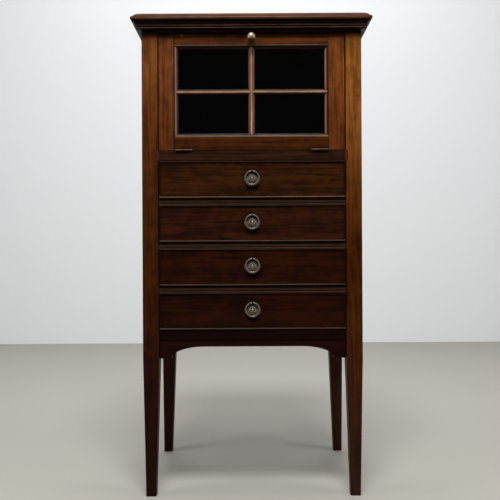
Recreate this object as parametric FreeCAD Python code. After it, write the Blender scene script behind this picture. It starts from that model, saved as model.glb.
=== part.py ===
"""Haberdashery cabinet: a glazed fall-front compartment over four cock-beaded drawers, on tall square legs.

Millimetres. +X is the cabinet's right as its user faces it, +Y runs to its back and +Z is up. The origin is
on the floor under the middle of the top board. Posts, rails and panels are separate boards: each rail is made
with its tenons and each panel with its edges, and what holds them is cut by them, so every mortise and groove
follows the piece that it fits.
"""
import FreeCAD
import Part

import os
from math import cos, pi, radians, sin

# Heights, from the floor up
LEG_HEIGHT = 308.0
APRON_HEIGHT = 41.5
LOWER_RAIL_HEIGHT = 21.9
DRAWER_OPENING = 83.4
DIVIDER_THICKNESS = 14.0
MID_RAIL_HEIGHT = 22.5
DOOR_OPENING = 263.5
TOP_RAIL_HEIGHT = 22.0
TOP_THICKNESS = 18.0
DRAWER_COUNT = 4

# Case
CASE_WIDTH = 488.0
CASE_DEPTH = 380.0
TOP_OVERHANG = 22.0
POST = 36.0
FOOT = 22.0
FOOT_LEAN = 5.0
REAR_FOOT_LEAN_IN = 2.5
REAR_FOOT_LEAN_FORWARD = 9.0
RAIL_THICKNESS = 20.0
RAIL_DEPTH = 40.0
RAIL_END_LAP = 5.0
RAIL_END_LAP_DEPTH = 9.0
TENON_LENGTH = 14.0
TENON_THICKNESS = 7.0
TENON_SHOULDER = 3.0
SIDE_RAIL_THICKNESS = 18.0
SIDE_SETBACK = 3.0
SIDE_TOP_RAIL_HEIGHT = 40.0
SIDE_PANEL_THICKNESS = 9.0
SIDE_PANEL_SETBACK = 7.0
PANEL_GROOVE = 6.0
BACK_RAIL_THICKNESS = 18.0
BACK_PANEL_THICKNESS = 6.0
BACK_PANEL_SETBACK = 6.0
FLOOR_THICKNESS = 10.0
FLOOR_DROP = 11.5
FLOOR_TONGUE = 5.0

# Arched aprons
APRON_SETBACK = 2.5
APRON_THICKNESS = 18.0
ARCH_RISE = 26.0
ARCH_CURVE = 73.0
ARCH_END = 27.0
SIDE_ARCH_END = 22.0

# Moulded top board and cornice
TOP_NOSE = 6.0
TOP_NOSE_ROUND = 1.2
TOP_STEP_WIDTH = 2.4
TOP_STEP_HEIGHT = 1.2
TOP_THUMB_WIDTH = 13.4
TOP_THUMB_BULGE = 1.3
CORNICE_HEIGHT = 18.0
BEAD_PROJECTION = 12.0
BEAD_RADIUS = 2.0
CORNICE_QUIRK = 1.4
CORNICE_FILLET = 2.6
COVE_RADIUS = 8.0

# Door
DOOR_GAP_SIDE = 1.0
DOOR_GAP = 1.0
DOOR_SETBACK = 0.5
DOOR_THICKNESS = 20.0
STILE_FLAT = 36.0
DOOR_TOP_FLAT = 29.0
DOOR_BOTTOM_FLAT = 30.5
QUIRK_DEPTH = 1.0
QUIRK_WIDTH = 1.5
OVOLO = 6.5
SIGHT_EDGE = 1.0
REBATE = 6.5
DOOR_TENON_LENGTH = 28.0
BAR_FLAT = 1.0
BAR_DROP = 1.5
BAR_TONGUE = 4.0
BAR_TONGUE_DEPTH = 10.0
GLASS_THICKNESS = 3.0
GLASS_CLEARANCE = 0.4
GLAZING_BEAD = 5.0

# Door hinges, stays and turn catch
HINGE_LENGTH = 38.0
HINGE_INSET = 57.0
HINGE_LEAF_WIDTH = 14.0
HINGE_LEAF_THICKNESS = 1.5
HINGE_AXIS_OUT = 1.0
KNUCKLE_COUNT = 3
KNUCKLE_RADIUS = 2.5
KNUCKLE_GAP = 0.2
KNUCKLE_ROOM = 0.4
PIN_RADIUS = 1.2
SHAFT_CLEARANCE = 0.05
STAY_RADIUS = 150.0
STAY_WIDTH = 8.0
STAY_THICKNESS = 2.0
STAY_TAIL_ANGLE = 93.5
STAY_PEG_ANGLE = 92.0
STAY_PEG_RADIUS = 2.5
STAY_SIDE_GAP = 2.8
STAY_FOOT_WIDTH = 15.0
STAY_FOOT_HEIGHT = 28.0
STAY_CLEARANCE = 0.4
STOP_PEG_RADIUS = 3.0
STOP_PEG_BACK = 3.5
STOP_PEG_ROOT = 8.0
KNOB_DROP = 13.5
KNOB_RADIUS = 9.5
KNOB_REACH = 21.5
KNOB_NECK_RADIUS = 3.2
KNOB_COLLAR_RADIUS = 5.5
KNOB_COLLAR = 1.5
SPINDLE_RADIUS = 3.0
TURN_CLEARANCE = 0.3
TONGUE_LENGTH = 18.5
TONGUE_WIDTH = 9.0
TONGUE_THICKNESS = 2.5
TONGUE_HUB_RADIUS = 6.0

# Drawers
DRAWER_GAP_SIDE = 1.5
DRAWER_GAP = 1.0
DRAWER_END_ROOM = 4.0
DRAWER_FRONT_THICKNESS = 20.0
COCK_BEAD = 3.0
COCK_BEAD_PROUD = 2.5
COCK_BEAD_REBATE = 8.0
DRAWER_SIDE_THICKNESS = 10.0
DRAWER_BACK_THICKNESS = 10.0
DRAWER_BACK_DROP = 4.0
DRAWER_SIDE_DROP = 2.0
DRAWER_BOTTOM_THICKNESS = 6.0
DRAWER_BOTTOM_RISE = 8.0
DRAWER_BOTTOM_GROOVE = 5.0
DOVETAIL_LENGTH = 10.0
DOVETAIL_COUNT = 3
DOVETAIL_PIN = 5.0
DOVETAIL_SLOPE = 0.16
RUN_CLEARANCE = 0.3
GUIDE_CLEARANCE = 0.5
GUIDE_HEIGHT = 14.0
RUNNER_WIDTH = 18.0
STOP_WIDTH = 30.0
STOP_DEPTH = 12.0
STOP_HEIGHT = 6.0
STOP_INSET = 88.0

# Ring handles
HANDLE_RISE = 3.3
PLATE_RADIUS = 18.25
PLATE_THICKNESS = 1.5
PLATE_DISH = 0.6
PLATE_RIM_WIDTH = 1.3
PLATE_RIM_HEIGHT = 1.2
PLATE_RIM_SLOPE = 0.4
BOSS_RADIUS = 8.5
BOSS_HEIGHT = 2.2
BOSS_STEP_RADIUS = 5.6
BOSS_STEP_HEIGHT = 1.4
BOSS_CREST_WIDTH = 1.8
BOSS_CREST_SLOPE = 0.6
NIPPLE_RADIUS = 2.1
RING_RADIUS = 15.0
RING_WIRE_RADIUS = 1.6
RING_BACK_GAP = 0.3
EYE_WIDTH = 3.0
EYE_WALL = 1.5
EYE_CLEARANCE = 0.25
BOLT_RADIUS = 2.5
NUT_SIDES = 6
NUT_RADIUS = 4.6
NUT_THICKNESS = 4.0

# Levels and faces that the sizes above give
HALF_WIDTH = CASE_WIDTH / 2
HALF_OPENING = HALF_WIDTH - POST
BACK = (CASE_DEPTH + TOP_OVERHANG) / 2
FRONT = BACK - CASE_DEPTH
POST_BACK = FRONT + POST
REAR_POST_FRONT = BACK - POST
APRON_TOP = LEG_HEIGHT + APRON_HEIGHT
LOWER_RAIL_TOP = APRON_TOP + LOWER_RAIL_HEIGHT
DRAWER_PITCH = DRAWER_OPENING + DIVIDER_THICKNESS
MID_RAIL_BOTTOM = LOWER_RAIL_TOP + DRAWER_COUNT * DRAWER_PITCH - DIVIDER_THICKNESS
MID_RAIL_TOP = MID_RAIL_BOTTOM + MID_RAIL_HEIGHT
TOP_RAIL_BOTTOM = MID_RAIL_TOP + DOOR_OPENING
CASE_TOP = TOP_RAIL_BOTTOM + TOP_RAIL_HEIGHT
SIDE_INNER = HALF_WIDTH - SIDE_PANEL_SETBACK - SIDE_PANEL_THICKNESS
FLOOR_TOP = MID_RAIL_TOP - FLOOR_DROP
DOOR_FRONT = FRONT + DOOR_SETBACK
DOOR_BACK = DOOR_FRONT + DOOR_THICKNESS
DOOR_HALF = HALF_OPENING - DOOR_GAP_SIDE
DOOR_BOTTOM = MID_RAIL_TOP + DOOR_GAP
DOOR_TOP = TOP_RAIL_BOTTOM - DOOR_GAP
HINGE_CENTRE = HALF_OPENING - HINGE_INSET
HINGE_Y = FRONT - HINGE_AXIS_OUT
HINGE_Z = MID_RAIL_TOP + DOOR_GAP / 2
STICKING = QUIRK_WIDTH + OVOLO
REBATE_DEPTH = QUIRK_DEPTH + OVOLO + SIGHT_EDGE
CORNICE_PROJECTION = BEAD_PROJECTION + COVE_RADIUS
SPAN = CASE_WIDTH + CASE_DEPTH
ROUND_ENOUGH = 1e-6


def vec(x, y, z):
    """A point or direction."""
    return FreeCAD.Vector(x, y, z)


def block(x, y, z):
    """A square-edged board between the two limits given for each axis."""
    return Part.makeBox(x[1] - x[0], y[1] - y[0], z[1] - z[0], vec(x[0], y[0], z[0]))


def rod(radius, start, end):
    """A round bar from one point to another."""
    return Part.makeCylinder(radius, (end - start).Length, start, end - start)


def joined(shapes):
    """One solid from shapes that meet, without the seams between them."""
    return shapes[0].multiFuse(shapes[1:]).removeSplitter()


def mirrored(shape):
    """The same piece for the other side of the cabinet."""
    return shape.mirror(vec(0, 0, 0), vec(1, 0, 0))


def pair(shape):
    """A piece and its mirror image."""
    return [mirrored(shape), shape]


def ellipse(centre, tip, side):
    """An ellipse with two of its axes' ends."""
    if (tip - centre).Length < (side - centre).Length:
        tip, side = side, tip
    return Part.Ellipse(tip, side, centre)


def quarter_arc(centre, start, end):
    """The quarter of a circle or an ellipse about its centre, between the ends of two of its axes."""
    first_arm, last_arm = start - centre, end - centre
    if abs(first_arm.Length - last_arm.Length) < ROUND_ENOUGH:
        return Part.Arc(start, centre + (first_arm + last_arm) * cos(pi / 4), end).toShape()
    curve = ellipse(centre, start, end)
    first, last = curve.parameter(start), curve.parameter(end)
    if (last - first) % (2 * pi) > pi:
        first, last = last, first
    return Part.ArcOfEllipse(curve, first, last).toShape()


def circle_arc(start, through, end):
    """The arc of a circle through three points."""
    return Part.Arc(start, through, end).toShape()


def straight(start, end):
    """A straight edge."""
    return Part.LineSegment(start, end).toShape()


class Outline:
    """A closed outline in the plane of two named axes, pushed along the third to make a solid."""

    PLACES = {
        "yz": lambda u, v, level: vec(level, u, v),
        "xz": lambda u, v, level: vec(u, level, v),
        "xy": lambda u, v, level: vec(u, v, level),
    }

    def __init__(self, plane, at, start):
        """plane names the axes, at turns a drawn point into them, and start is the first drawn point."""
        self.plane = plane
        self.at = at
        self.start = start
        self.here = start
        self.runs = []

    def to(self, *points):
        """Straight on to each point in turn."""
        for point in points:
            self.runs.append((straight, [self.here, point]))
            self.here = point
        return self

    def quarter(self, centre, end):
        """Round a quarter of a circle, or of an ellipse, about its centre."""
        self.runs.append((quarter_arc, [centre, self.here, end]))
        self.here = end
        return self

    def bend(self, through, end):
        """Round through one point to another, on a circle."""
        self.runs.append((circle_arc, [self.here, through, end]))
        self.here = end
        return self

    def face(self, level):
        """The outline closed, as a face at one level."""
        if self.here != self.start:
            self.to(self.start)
        place = self.PLACES[self.plane]
        edges = []
        for draw, points in self.runs:
            edges.append(draw(*[place(*self.at(*point), level) for point in points]))
        return Part.Face(Part.Wire(edges))

    def solid(self, limits):
        """The outline closed, and pushed from one level to the other."""
        place = self.PLACES[self.plane]
        return self.face(limits[0]).extrude(place(0, 0, limits[1]) - place(0, 0, limits[0]))

    def turned(self, centre, axis):
        """The outline closed at level 0, and turned right round an axis that it lies on one side of."""
        return self.face(0).revolve(centre, axis, 360)


def slab(plane, corners, limits):
    """A flat prism with straight sides."""
    return Outline(plane, lambda u, v: (u, v), corners[0]).to(*corners[1:]).solid(limits)


def mitred_frame(limits_x, limits_z, width, section):
    """Four strips laid inside a rectangle and mitred at its corners.

    section(plane, at) draws a strip's outline, where at takes the distance in from the rectangle and y."""
    (x0, x1), (z0, z1) = limits_x, limits_z
    outer = [(x0, z0), (x1, z0), (x1, z1), (x0, z1)]
    inner = [(x0 + width, z0 + width), (x1 - width, z0 + width),
             (x1 - width, z1 - width), (x0 + width, z1 - width)]
    strips = [
        section("yz", lambda a, y: (y, z0 + a)).solid(limits_x),
        section("xy", lambda a, y: (x1 - a, y)).solid(limits_z),
        section("yz", lambda a, y: (y, z1 - a)).solid(limits_x),
        section("xy", lambda a, y: (x0 + a, y)).solid(limits_z),
    ]
    mitred = []
    for side, strip in enumerate(strips):
        after = (side + 1) % len(strips)
        corners = [outer[side], outer[after], inner[after], inner[side]]
        mitred.append(strip.common(slab("xz", corners, (-SPAN, SPAN))))
    return mitred


def drawer_level(number):
    """The floor of a drawer's opening; number 1 is the uppermost."""
    return LOWER_RAIL_TOP + (DRAWER_COUNT - number) * DRAWER_PITCH


# ---------------------------------------------------------------- case


def rail_across(limits_y, limits_z, tenon_y):
    """A rail between two posts, with a tenon at each end that starts at tenon_y."""
    board = block((-HALF_OPENING, HALF_OPENING), limits_y, limits_z)
    reach = HALF_OPENING + TENON_LENGTH
    tenon = block((-reach, reach), (tenon_y, tenon_y + TENON_THICKNESS),
                  (limits_z[0] + TENON_SHOULDER, limits_z[1] - TENON_SHOULDER))
    return joined([board, tenon])


def front_rail(bottom, height, depth=RAIL_DEPTH):
    """A rail across the front, flush with the posts' faces."""
    middle = FRONT + (RAIL_THICKNESS - TENON_THICKNESS) / 2
    return rail_across((FRONT, FRONT + depth), (bottom, bottom + height), middle)


def make_mid_rail():
    """The rail under the door, lapped over the posts' faces at its ends."""
    rail = front_rail(MID_RAIL_BOTTOM, MID_RAIL_HEIGHT)
    reach = HALF_OPENING + RAIL_END_LAP
    lap = block((-reach, reach), (FRONT, FRONT + RAIL_END_LAP_DEPTH), (MID_RAIL_BOTTOM, MID_RAIL_TOP))
    return joined([rail, lap])


def arch_room(half, centre, end, curve, along):
    """The room under an arch: a level soffit that turns down in a quarter ellipse at each end."""
    soffit = LEG_HEIGHT + ARCH_RISE
    corner = half - end - curve

    def place(run, z):
        return vec(run + centre, -SPAN, z) if along == "x" else vec(-SPAN, run + centre, z)

    through = vec(0, 2 * SPAN, 0) if along == "x" else vec(2 * SPAN, 0, 0)
    square = Part.makePolygon([place(-corner, 0), place(corner, 0), place(corner, soffit),
                               place(-corner, soffit), place(-corner, 0)])
    room = [Part.Face(square).extrude(through)]
    for side in (-1, 1):
        oval = ellipse(place(side * corner, LEG_HEIGHT), place(side * (corner + curve), LEG_HEIGHT),
                       place(side * corner, soffit))
        room.append(Part.Face(Part.Wire(oval.toShape())).extrude(through))
    return joined(room)


def make_front_apron():
    """The arched board under the lower rail, set a little behind it."""
    face = FRONT + APRON_SETBACK
    board = rail_across((face, face + APRON_THICKNESS), (LEG_HEIGHT, APRON_TOP),
                        face + (APRON_THICKNESS - TENON_THICKNESS) / 2)
    return board.cut(arch_room(HALF_OPENING, 0, ARCH_END, ARCH_CURVE, "x"))


def side_rail(limits_z):
    """The right-hand side's rail between front and rear posts, with its tenons."""
    outer = HALF_WIDTH - SIDE_SETBACK
    board = block((outer - SIDE_RAIL_THICKNESS, outer), (POST_BACK, REAR_POST_FRONT), limits_z)
    middle = outer - SIDE_RAIL_THICKNESS / 2
    tenon = block((middle - TENON_THICKNESS / 2, middle + TENON_THICKNESS / 2),
                  (POST_BACK - TENON_LENGTH, REAR_POST_FRONT + TENON_LENGTH),
                  (limits_z[0] + TENON_SHOULDER, limits_z[1] - TENON_SHOULDER))
    return joined([board, tenon])


def make_side_apron():
    """The right-hand side's lower rail, arched like the front one."""
    half = (REAR_POST_FRONT - POST_BACK) / 2
    centre = (REAR_POST_FRONT + POST_BACK) / 2
    room = arch_room(half, centre, SIDE_ARCH_END, ARCH_CURVE, "y")
    return side_rail((LEG_HEIGHT, LOWER_RAIL_TOP)).cut(room)


def make_side_panel():
    """The right-hand side's panel, with the edges that lie in the grooves."""
    outer = HALF_WIDTH - SIDE_PANEL_SETBACK
    return block((outer - SIDE_PANEL_THICKNESS, outer),
                 (POST_BACK - PANEL_GROOVE, REAR_POST_FRONT + PANEL_GROOVE),
                 (LOWER_RAIL_TOP - PANEL_GROOVE, CASE_TOP - SIDE_TOP_RAIL_HEIGHT + PANEL_GROOVE))


def make_back():
    """The thin back panel, and the top and bottom rails that hold it between the rear posts."""
    face = BACK - BACK_RAIL_THICKNESS
    middle = face + (BACK_RAIL_THICKNESS - TENON_THICKNESS) / 2
    levels = ((APRON_TOP, APRON_TOP + SIDE_TOP_RAIL_HEIGHT), (CASE_TOP - SIDE_TOP_RAIL_HEIGHT, CASE_TOP))
    rails = [rail_across((face, BACK), limits_z, middle) for limits_z in levels]
    reach = HALF_OPENING + PANEL_GROOVE
    panel = block((-reach, reach),
                  (BACK - BACK_PANEL_SETBACK - BACK_PANEL_THICKNESS, BACK - BACK_PANEL_SETBACK),
                  (levels[0][1] - PANEL_GROOVE, levels[1][0] + PANEL_GROOVE))
    return panel, [rail.cut(panel) for rail in rails]


def make_post(front, held):
    """A right-hand corner post and its tapered leg, cut by the pieces that it holds."""
    if front:
        y0, foot_y, lean = FRONT, FRONT + FOOT_LEAN, FOOT_LEAN
    else:
        y0, foot_y, lean = REAR_POST_FRONT, BACK - REAR_FOOT_LEAN_FORWARD - FOOT, REAR_FOOT_LEAN_IN
    foot_x = HALF_WIDTH - lean - FOOT

    def square(x, y, side, z):
        corners = [vec(x, y, z), vec(x + side, y, z), vec(x + side, y + side, z), vec(x, y + side, z)]
        return Part.makePolygon(corners + corners[:1])

    leg = Part.makeLoft([square(foot_x, foot_y, FOOT, 0), square(HALF_OPENING, y0, POST, LEG_HEIGHT)],
                        True, True)
    shaft = block((HALF_OPENING, HALF_WIDTH), (y0, y0 + POST), (LEG_HEIGHT, CASE_TOP))
    post = joined([shaft, leg])
    for piece in held:
        post = post.cut(piece)
    return post


def make_compartment_floor():
    """The board that the upper compartment's goods stand on, tongued into the mid rail."""
    rail_back = FRONT + RAIL_DEPTH
    panel_front = BACK - BACK_PANEL_SETBACK - BACK_PANEL_THICKNESS
    limits_z = (FLOOR_TOP - FLOOR_THICKNESS, FLOOR_TOP)
    board = block((-SIDE_INNER, SIDE_INNER), (rail_back, REAR_POST_FRONT), limits_z)
    tongue = block((-HALF_OPENING, HALF_OPENING), (rail_back - FLOOR_TONGUE, panel_front), limits_z)
    return joined([board, tongue])


def make_runner(level):
    """A right-hand runner: the shelf a drawer slides on and the guide beside it."""
    limits_y = (FRONT + RAIL_DEPTH, REAR_POST_FRONT)
    shelf = block((HALF_OPENING - RUNNER_WIDTH, SIDE_INNER), limits_y, (level - DIVIDER_THICKNESS, level))
    guide_face = HALF_OPENING - DRAWER_GAP_SIDE + GUIDE_CLEARANCE
    guide = block((guide_face, SIDE_INNER), limits_y, (level, level + GUIDE_HEIGHT))
    return joined([shelf, guide])


def make_drawer_stop(level):
    """The small block that a closed drawer's front comes up against."""
    y0 = FRONT + DRAWER_FRONT_THICKNESS + RUN_CLEARANCE
    centre = HALF_OPENING - STOP_INSET
    return block((centre - STOP_WIDTH / 2, centre + STOP_WIDTH / 2), (y0, y0 + STOP_DEPTH),
                 (level, level + STOP_HEIGHT))


# ---------------------------------------------------------------- top board and cornice


def make_top_board():
    """The top, moulded on its front and both ends: a rounded nose, a small step, then a flat thumb mould."""
    half = HALF_WIDTH + TOP_OVERHANG
    top = CASE_TOP + TOP_THICKNESS
    nose_top = CASE_TOP + TOP_NOSE
    step = (TOP_NOSE_ROUND + TOP_STEP_WIDTH, nose_top + TOP_STEP_HEIGHT)
    crown = (step[0] + TOP_THUMB_WIDTH, top)
    width, rise = crown[0] - step[0], crown[1] - step[1]
    chord = (width ** 2 + rise ** 2) ** 0.5
    swell = ((step[0] + crown[0]) / 2 - TOP_THUMB_BULGE * rise / chord,
             (step[1] + crown[1]) / 2 + TOP_THUMB_BULGE * width / chord)

    def edge(outline):
        """From the underside round the nose and over the thumb to the top face; 0 is the nose's tip."""
        return (outline.bend((0, CASE_TOP + TOP_NOSE / 2), (TOP_NOSE_ROUND, nose_top))
                .to((TOP_NOSE_ROUND, step[1]), step).bend(swell, crown))

    start = (TOP_NOSE_ROUND, CASE_TOP)
    front = edge(Outline("yz", lambda a, z: (a - BACK, z), start))
    long_board = front.to((2 * BACK, top), (2 * BACK, CASE_TOP)).solid((-half, half))
    ends = []
    for sign in (-1, 1):
        end = edge(Outline("xz", lambda a, z, s=sign: (s * (half - a), z), start))
        ends.append(end.to((half, top), (half, CASE_TOP)).solid((-BACK, BACK)))
    return long_board.common(joined(ends))


def cornice_section(outline):
    """The cornice from its underside: bead, quirk, fillet, cove and lip; drawn outwards from the case."""
    z = CASE_TOP - CORNICE_HEIGHT
    bead_top = z + 2 * BEAD_RADIUS
    quirk_top = bead_top + CORNICE_QUIRK
    cove_bottom = quirk_top + CORNICE_FILLET
    lip = cove_bottom + COVE_RADIUS
    bead = BEAD_PROJECTION - BEAD_RADIUS
    return (outline.to((bead, z))
            .quarter((bead, z + BEAD_RADIUS), (BEAD_PROJECTION, z + BEAD_RADIUS))
            .quarter((bead, z + BEAD_RADIUS), (bead, bead_top))
            .to((bead, quirk_top), (BEAD_PROJECTION, quirk_top), (BEAD_PROJECTION, cove_bottom))
            .quarter((CORNICE_PROJECTION, cove_bottom), (CORNICE_PROJECTION, lip))
            .to((CORNICE_PROJECTION, CASE_TOP), (0, CASE_TOP)))


def make_cornice():
    """The cornice across the front and along both sides, mitred at the front corners."""
    start = (0, CASE_TOP - CORNICE_HEIGHT)
    limits_z = (start[1], CASE_TOP)
    reach = HALF_WIDTH + CORNICE_PROJECTION
    lead = FRONT - CORNICE_PROJECTION
    front = cornice_section(Outline("yz", lambda a, z: (FRONT - a, z), start)).solid((-reach, reach))
    front = front.common(slab("xy", [(-HALF_WIDTH, FRONT), (HALF_WIDTH, FRONT), (reach, lead),
                                     (-reach, lead)], limits_z))
    side = cornice_section(Outline("xz", lambda a, z: (HALF_WIDTH + a, z), start)).solid((lead, BACK))
    side = side.common(slab("xy", [(HALF_WIDTH, FRONT), (reach, lead), (reach, BACK),
                                   (HALF_WIDTH, BACK)], limits_z))
    return front, pair(side)


# ---------------------------------------------------------------- door


def stick(outline, flat):
    """A door member's section: its flat face, then the quirk, ovolo and rebate along its inner edge.

    The first drawn number is the distance in from the flat's edge and the second the depth."""
    edge = QUIRK_DEPTH + OVOLO
    return (outline.to((0, 0), (0, QUIRK_DEPTH), (QUIRK_WIDTH, QUIRK_DEPTH))
            .quarter((QUIRK_WIDTH, edge), (STICKING, edge))
            .to((STICKING, REBATE_DEPTH), (STICKING - REBATE, REBATE_DEPTH),
                (STICKING - REBATE, DOOR_THICKNESS), (-flat, DOOR_THICKNESS)))


def make_door_frame():
    """Two stiles and two rails, mitred along the moulding and tenoned behind it."""
    flat_x = DOOR_HALF - STILE_FLAT
    sight_x = flat_x - STICKING
    low, high = DOOR_BOTTOM + DOOR_BOTTOM_FLAT, DOOR_TOP - DOOR_TOP_FLAT
    sight_low, sight_high = low + STICKING, high - STICKING
    through = (DOOR_FRONT, DOOR_BACK)

    def section(plane, at, flat):
        return stick(Outline(plane, at, (-flat, 0)), flat)

    limits_z = (DOOR_BOTTOM, DOOR_TOP)
    stile = section("xy", lambda a, d: (flat_x - a, DOOR_FRONT + d), STILE_FLAT).solid(limits_z)
    stile = stile.common(slab("xz", [
        (DOOR_HALF, DOOR_BOTTOM), (DOOR_HALF, DOOR_TOP), (flat_x, DOOR_TOP), (flat_x, high),
        (sight_x, sight_high), (sight_x, sight_low), (flat_x, low), (flat_x, DOOR_BOTTOM)], through))
    between = (-flat_x, flat_x)
    bottom = section("yz", lambda a, d: (DOOR_FRONT + d, low + a), DOOR_BOTTOM_FLAT).solid(between)
    bottom = bottom.common(slab("xz", [
        (-flat_x, DOOR_BOTTOM), (flat_x, DOOR_BOTTOM), (flat_x, low), (sight_x, sight_low),
        (-sight_x, sight_low), (-flat_x, low)], through))
    top = section("yz", lambda a, d: (DOOR_FRONT + d, high - a), DOOR_TOP_FLAT).solid(between)
    top = top.common(slab("xz", [
        (-flat_x, DOOR_TOP), (flat_x, DOOR_TOP), (flat_x, high), (sight_x, sight_high),
        (-sight_x, sight_high), (-flat_x, high)], through))
    tenon_y = DOOR_FRONT + (DOOR_THICKNESS + REBATE_DEPTH - TENON_THICKNESS) / 2
    reach = flat_x + DOOR_TENON_LENGTH
    rails = []
    for rail, limits_z in ((bottom, (DOOR_BOTTOM, low)), (top, (high, DOOR_TOP))):
        tenon = block((-reach, reach), (tenon_y, tenon_y + TENON_THICKNESS),
                      (limits_z[0] + TENON_SHOULDER, limits_z[1] - TENON_SHOULDER))
        rails.append(joined([rail, tenon]))
        stile = stile.cut(rails[-1])
    return mirrored(stile), stile, rails[0], rails[1]


def bar_section(outline):
    """A glazing bar: a narrow flat, an ovolo each side, and the tongue that parts the panes behind."""
    half, tongue = BAR_FLAT / 2, BAR_TONGUE / 2
    wide = half + OVOLO
    edge = QUIRK_DEPTH + OVOLO
    tongue_end = REBATE_DEPTH + BAR_TONGUE_DEPTH
    return (outline.to((half, QUIRK_DEPTH)).quarter((half, edge), (wide, edge))
            .to((wide, REBATE_DEPTH), (tongue, REBATE_DEPTH), (tongue, tongue_end), (-tongue, tongue_end),
                (-tongue, REBATE_DEPTH), (-wide, REBATE_DEPTH), (-wide, edge))
            .quarter((-half, edge), (-half, QUIRK_DEPTH)))


def glazing_limits():
    """The rebate's walls: x to either side, and the lower and upper z."""
    wall = STICKING - REBATE
    return (DOOR_HALF - STILE_FLAT - wall,
            (DOOR_BOTTOM + DOOR_BOTTOM_FLAT + wall, DOOR_TOP - DOOR_TOP_FLAT - wall))


def bar_level():
    """The height of the cross bar's centre line, a little below halfway up the glazed opening."""
    _, limits_z = glazing_limits()
    return sum(limits_z) / 2 - BAR_DROP


def make_glazing_bars(frame):
    """The upright bar, and the cross bar scribed to it in two halves; both are scribed to the frame."""
    half, limits_z = glazing_limits()
    level = bar_level()
    start = (-BAR_FLAT / 2, QUIRK_DEPTH)
    upright = bar_section(Outline("xy", lambda a, d: (a, DOOR_FRONT + d), start)).solid(limits_z)
    cross = bar_section(Outline("yz", lambda a, d: (DOOR_FRONT + d, level + a), start)).solid((0, half))
    cross = cross.cut(upright)
    for member in frame:
        upright = upright.cut(member)
        cross = cross.cut(member)
    return upright, pair(cross)


def make_glazing():
    """The four panes, and the beads that hold each one in its rebate."""
    half, (low, high) = glazing_limits()
    level, tongue = bar_level(), BAR_TONGUE / 2
    face = DOOR_FRONT + REBATE_DEPTH
    behind = face + GLASS_THICKNESS

    def section(plane, at):
        """A bead with its inner back edge rounded."""
        return (Outline(plane, at, (0, behind)).to((GLAZING_BEAD, behind))
                .quarter((0, behind), (0, behind + GLAZING_BEAD)))

    panes, beads = [], []
    for limits_x in ((-half, -tongue), (tongue, half)):
        for limits_z in ((low, level - tongue), (level + tongue, high)):
            panes.append(block((limits_x[0] + GLASS_CLEARANCE, limits_x[1] - GLASS_CLEARANCE), (face, behind),
                               (limits_z[0] + GLASS_CLEARANCE, limits_z[1] - GLASS_CLEARANCE)))
            beads += mitred_frame(limits_x, limits_z, GLAZING_BEAD, section)
    return panes, beads


# ---------------------------------------------------------------- door ironwork


def knuckle_spans():
    """The hinge's knuckles along x from its centre: the outer two are fixed and the middle one turns."""
    pitch, end = HINGE_LENGTH / KNUCKLE_COUNT, HINGE_LENGTH / 2
    return [(n * pitch - end + KNUCKLE_GAP / 2, (n + 1) * pitch - end - KNUCKLE_GAP / 2)
            for n in range(KNUCKLE_COUNT)]


def knuckle(radius, span):
    """A round length on the hinge's axis, over a stretch of x measured from the hinge's centre."""
    return rod(radius, vec(HINGE_CENTRE + span[0], HINGE_Y, HINGE_Z),
               vec(HINGE_CENTRE + span[1], HINGE_Y, HINGE_Z))


def make_hinge():
    """The right-hand hinge: its leaf on the mid rail, its leaf on the door, and its pin."""
    spans = knuckle_spans()
    plate_x = (HINGE_CENTRE - HINGE_LENGTH / 2, HINGE_CENTRE + HINGE_LENGTH / 2)
    plate_y = (HINGE_Y + KNUCKLE_RADIUS, HINGE_Y + KNUCKLE_RADIUS + HINGE_LEAF_WIDTH)

    def make_leaf(own, other, bottom, bore):
        """A plate clear of the other leaf's knuckles, reaching forward only to its own."""
        limits_z = (bottom, bottom + HINGE_LEAF_THICKNESS)
        shapes = [block(plate_x, plate_y, limits_z)]
        for first, last in own:
            shapes.append(knuckle(KNUCKLE_RADIUS, (first, last)))
            shapes.append(block((HINGE_CENTRE + first, HINGE_CENTRE + last), (HINGE_Y, plate_y[0]), limits_z))
        leaf = joined(shapes)
        for first, last in other:
            leaf = leaf.cut(knuckle(KNUCKLE_RADIUS + KNUCKLE_ROOM, (first - KNUCKLE_GAP, last + KNUCKLE_GAP)))
        return leaf.cut(knuckle(bore, (-HINGE_LENGTH, HINGE_LENGTH)))

    outer, middle = spans[::2], spans[1::2]
    fixed = make_leaf(outer, middle, MID_RAIL_TOP - HINGE_LEAF_THICKNESS, PIN_RADIUS)
    turning = make_leaf(middle, outer, DOOR_BOTTOM, PIN_RADIUS + SHAFT_CLEARANCE)
    return fixed, turning, knuckle(PIN_RADIUS, (spans[0][0], spans[-1][1]))


def knuckle_room():
    """What the hinge's knuckles need cleared from the wood round them."""
    reach = HINGE_LENGTH / 2 + KNUCKLE_ROOM
    return knuckle(KNUCKLE_RADIUS + KNUCKLE_ROOM, (-reach, reach))


def on_swing(angle, radius=STAY_RADIUS):
    """A point's y and z at an angle behind upright and a distance from the hinges' axis."""
    turn = radians(angle)
    return HINGE_Y + radius * sin(turn), HINGE_Z + radius * cos(turn)


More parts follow.
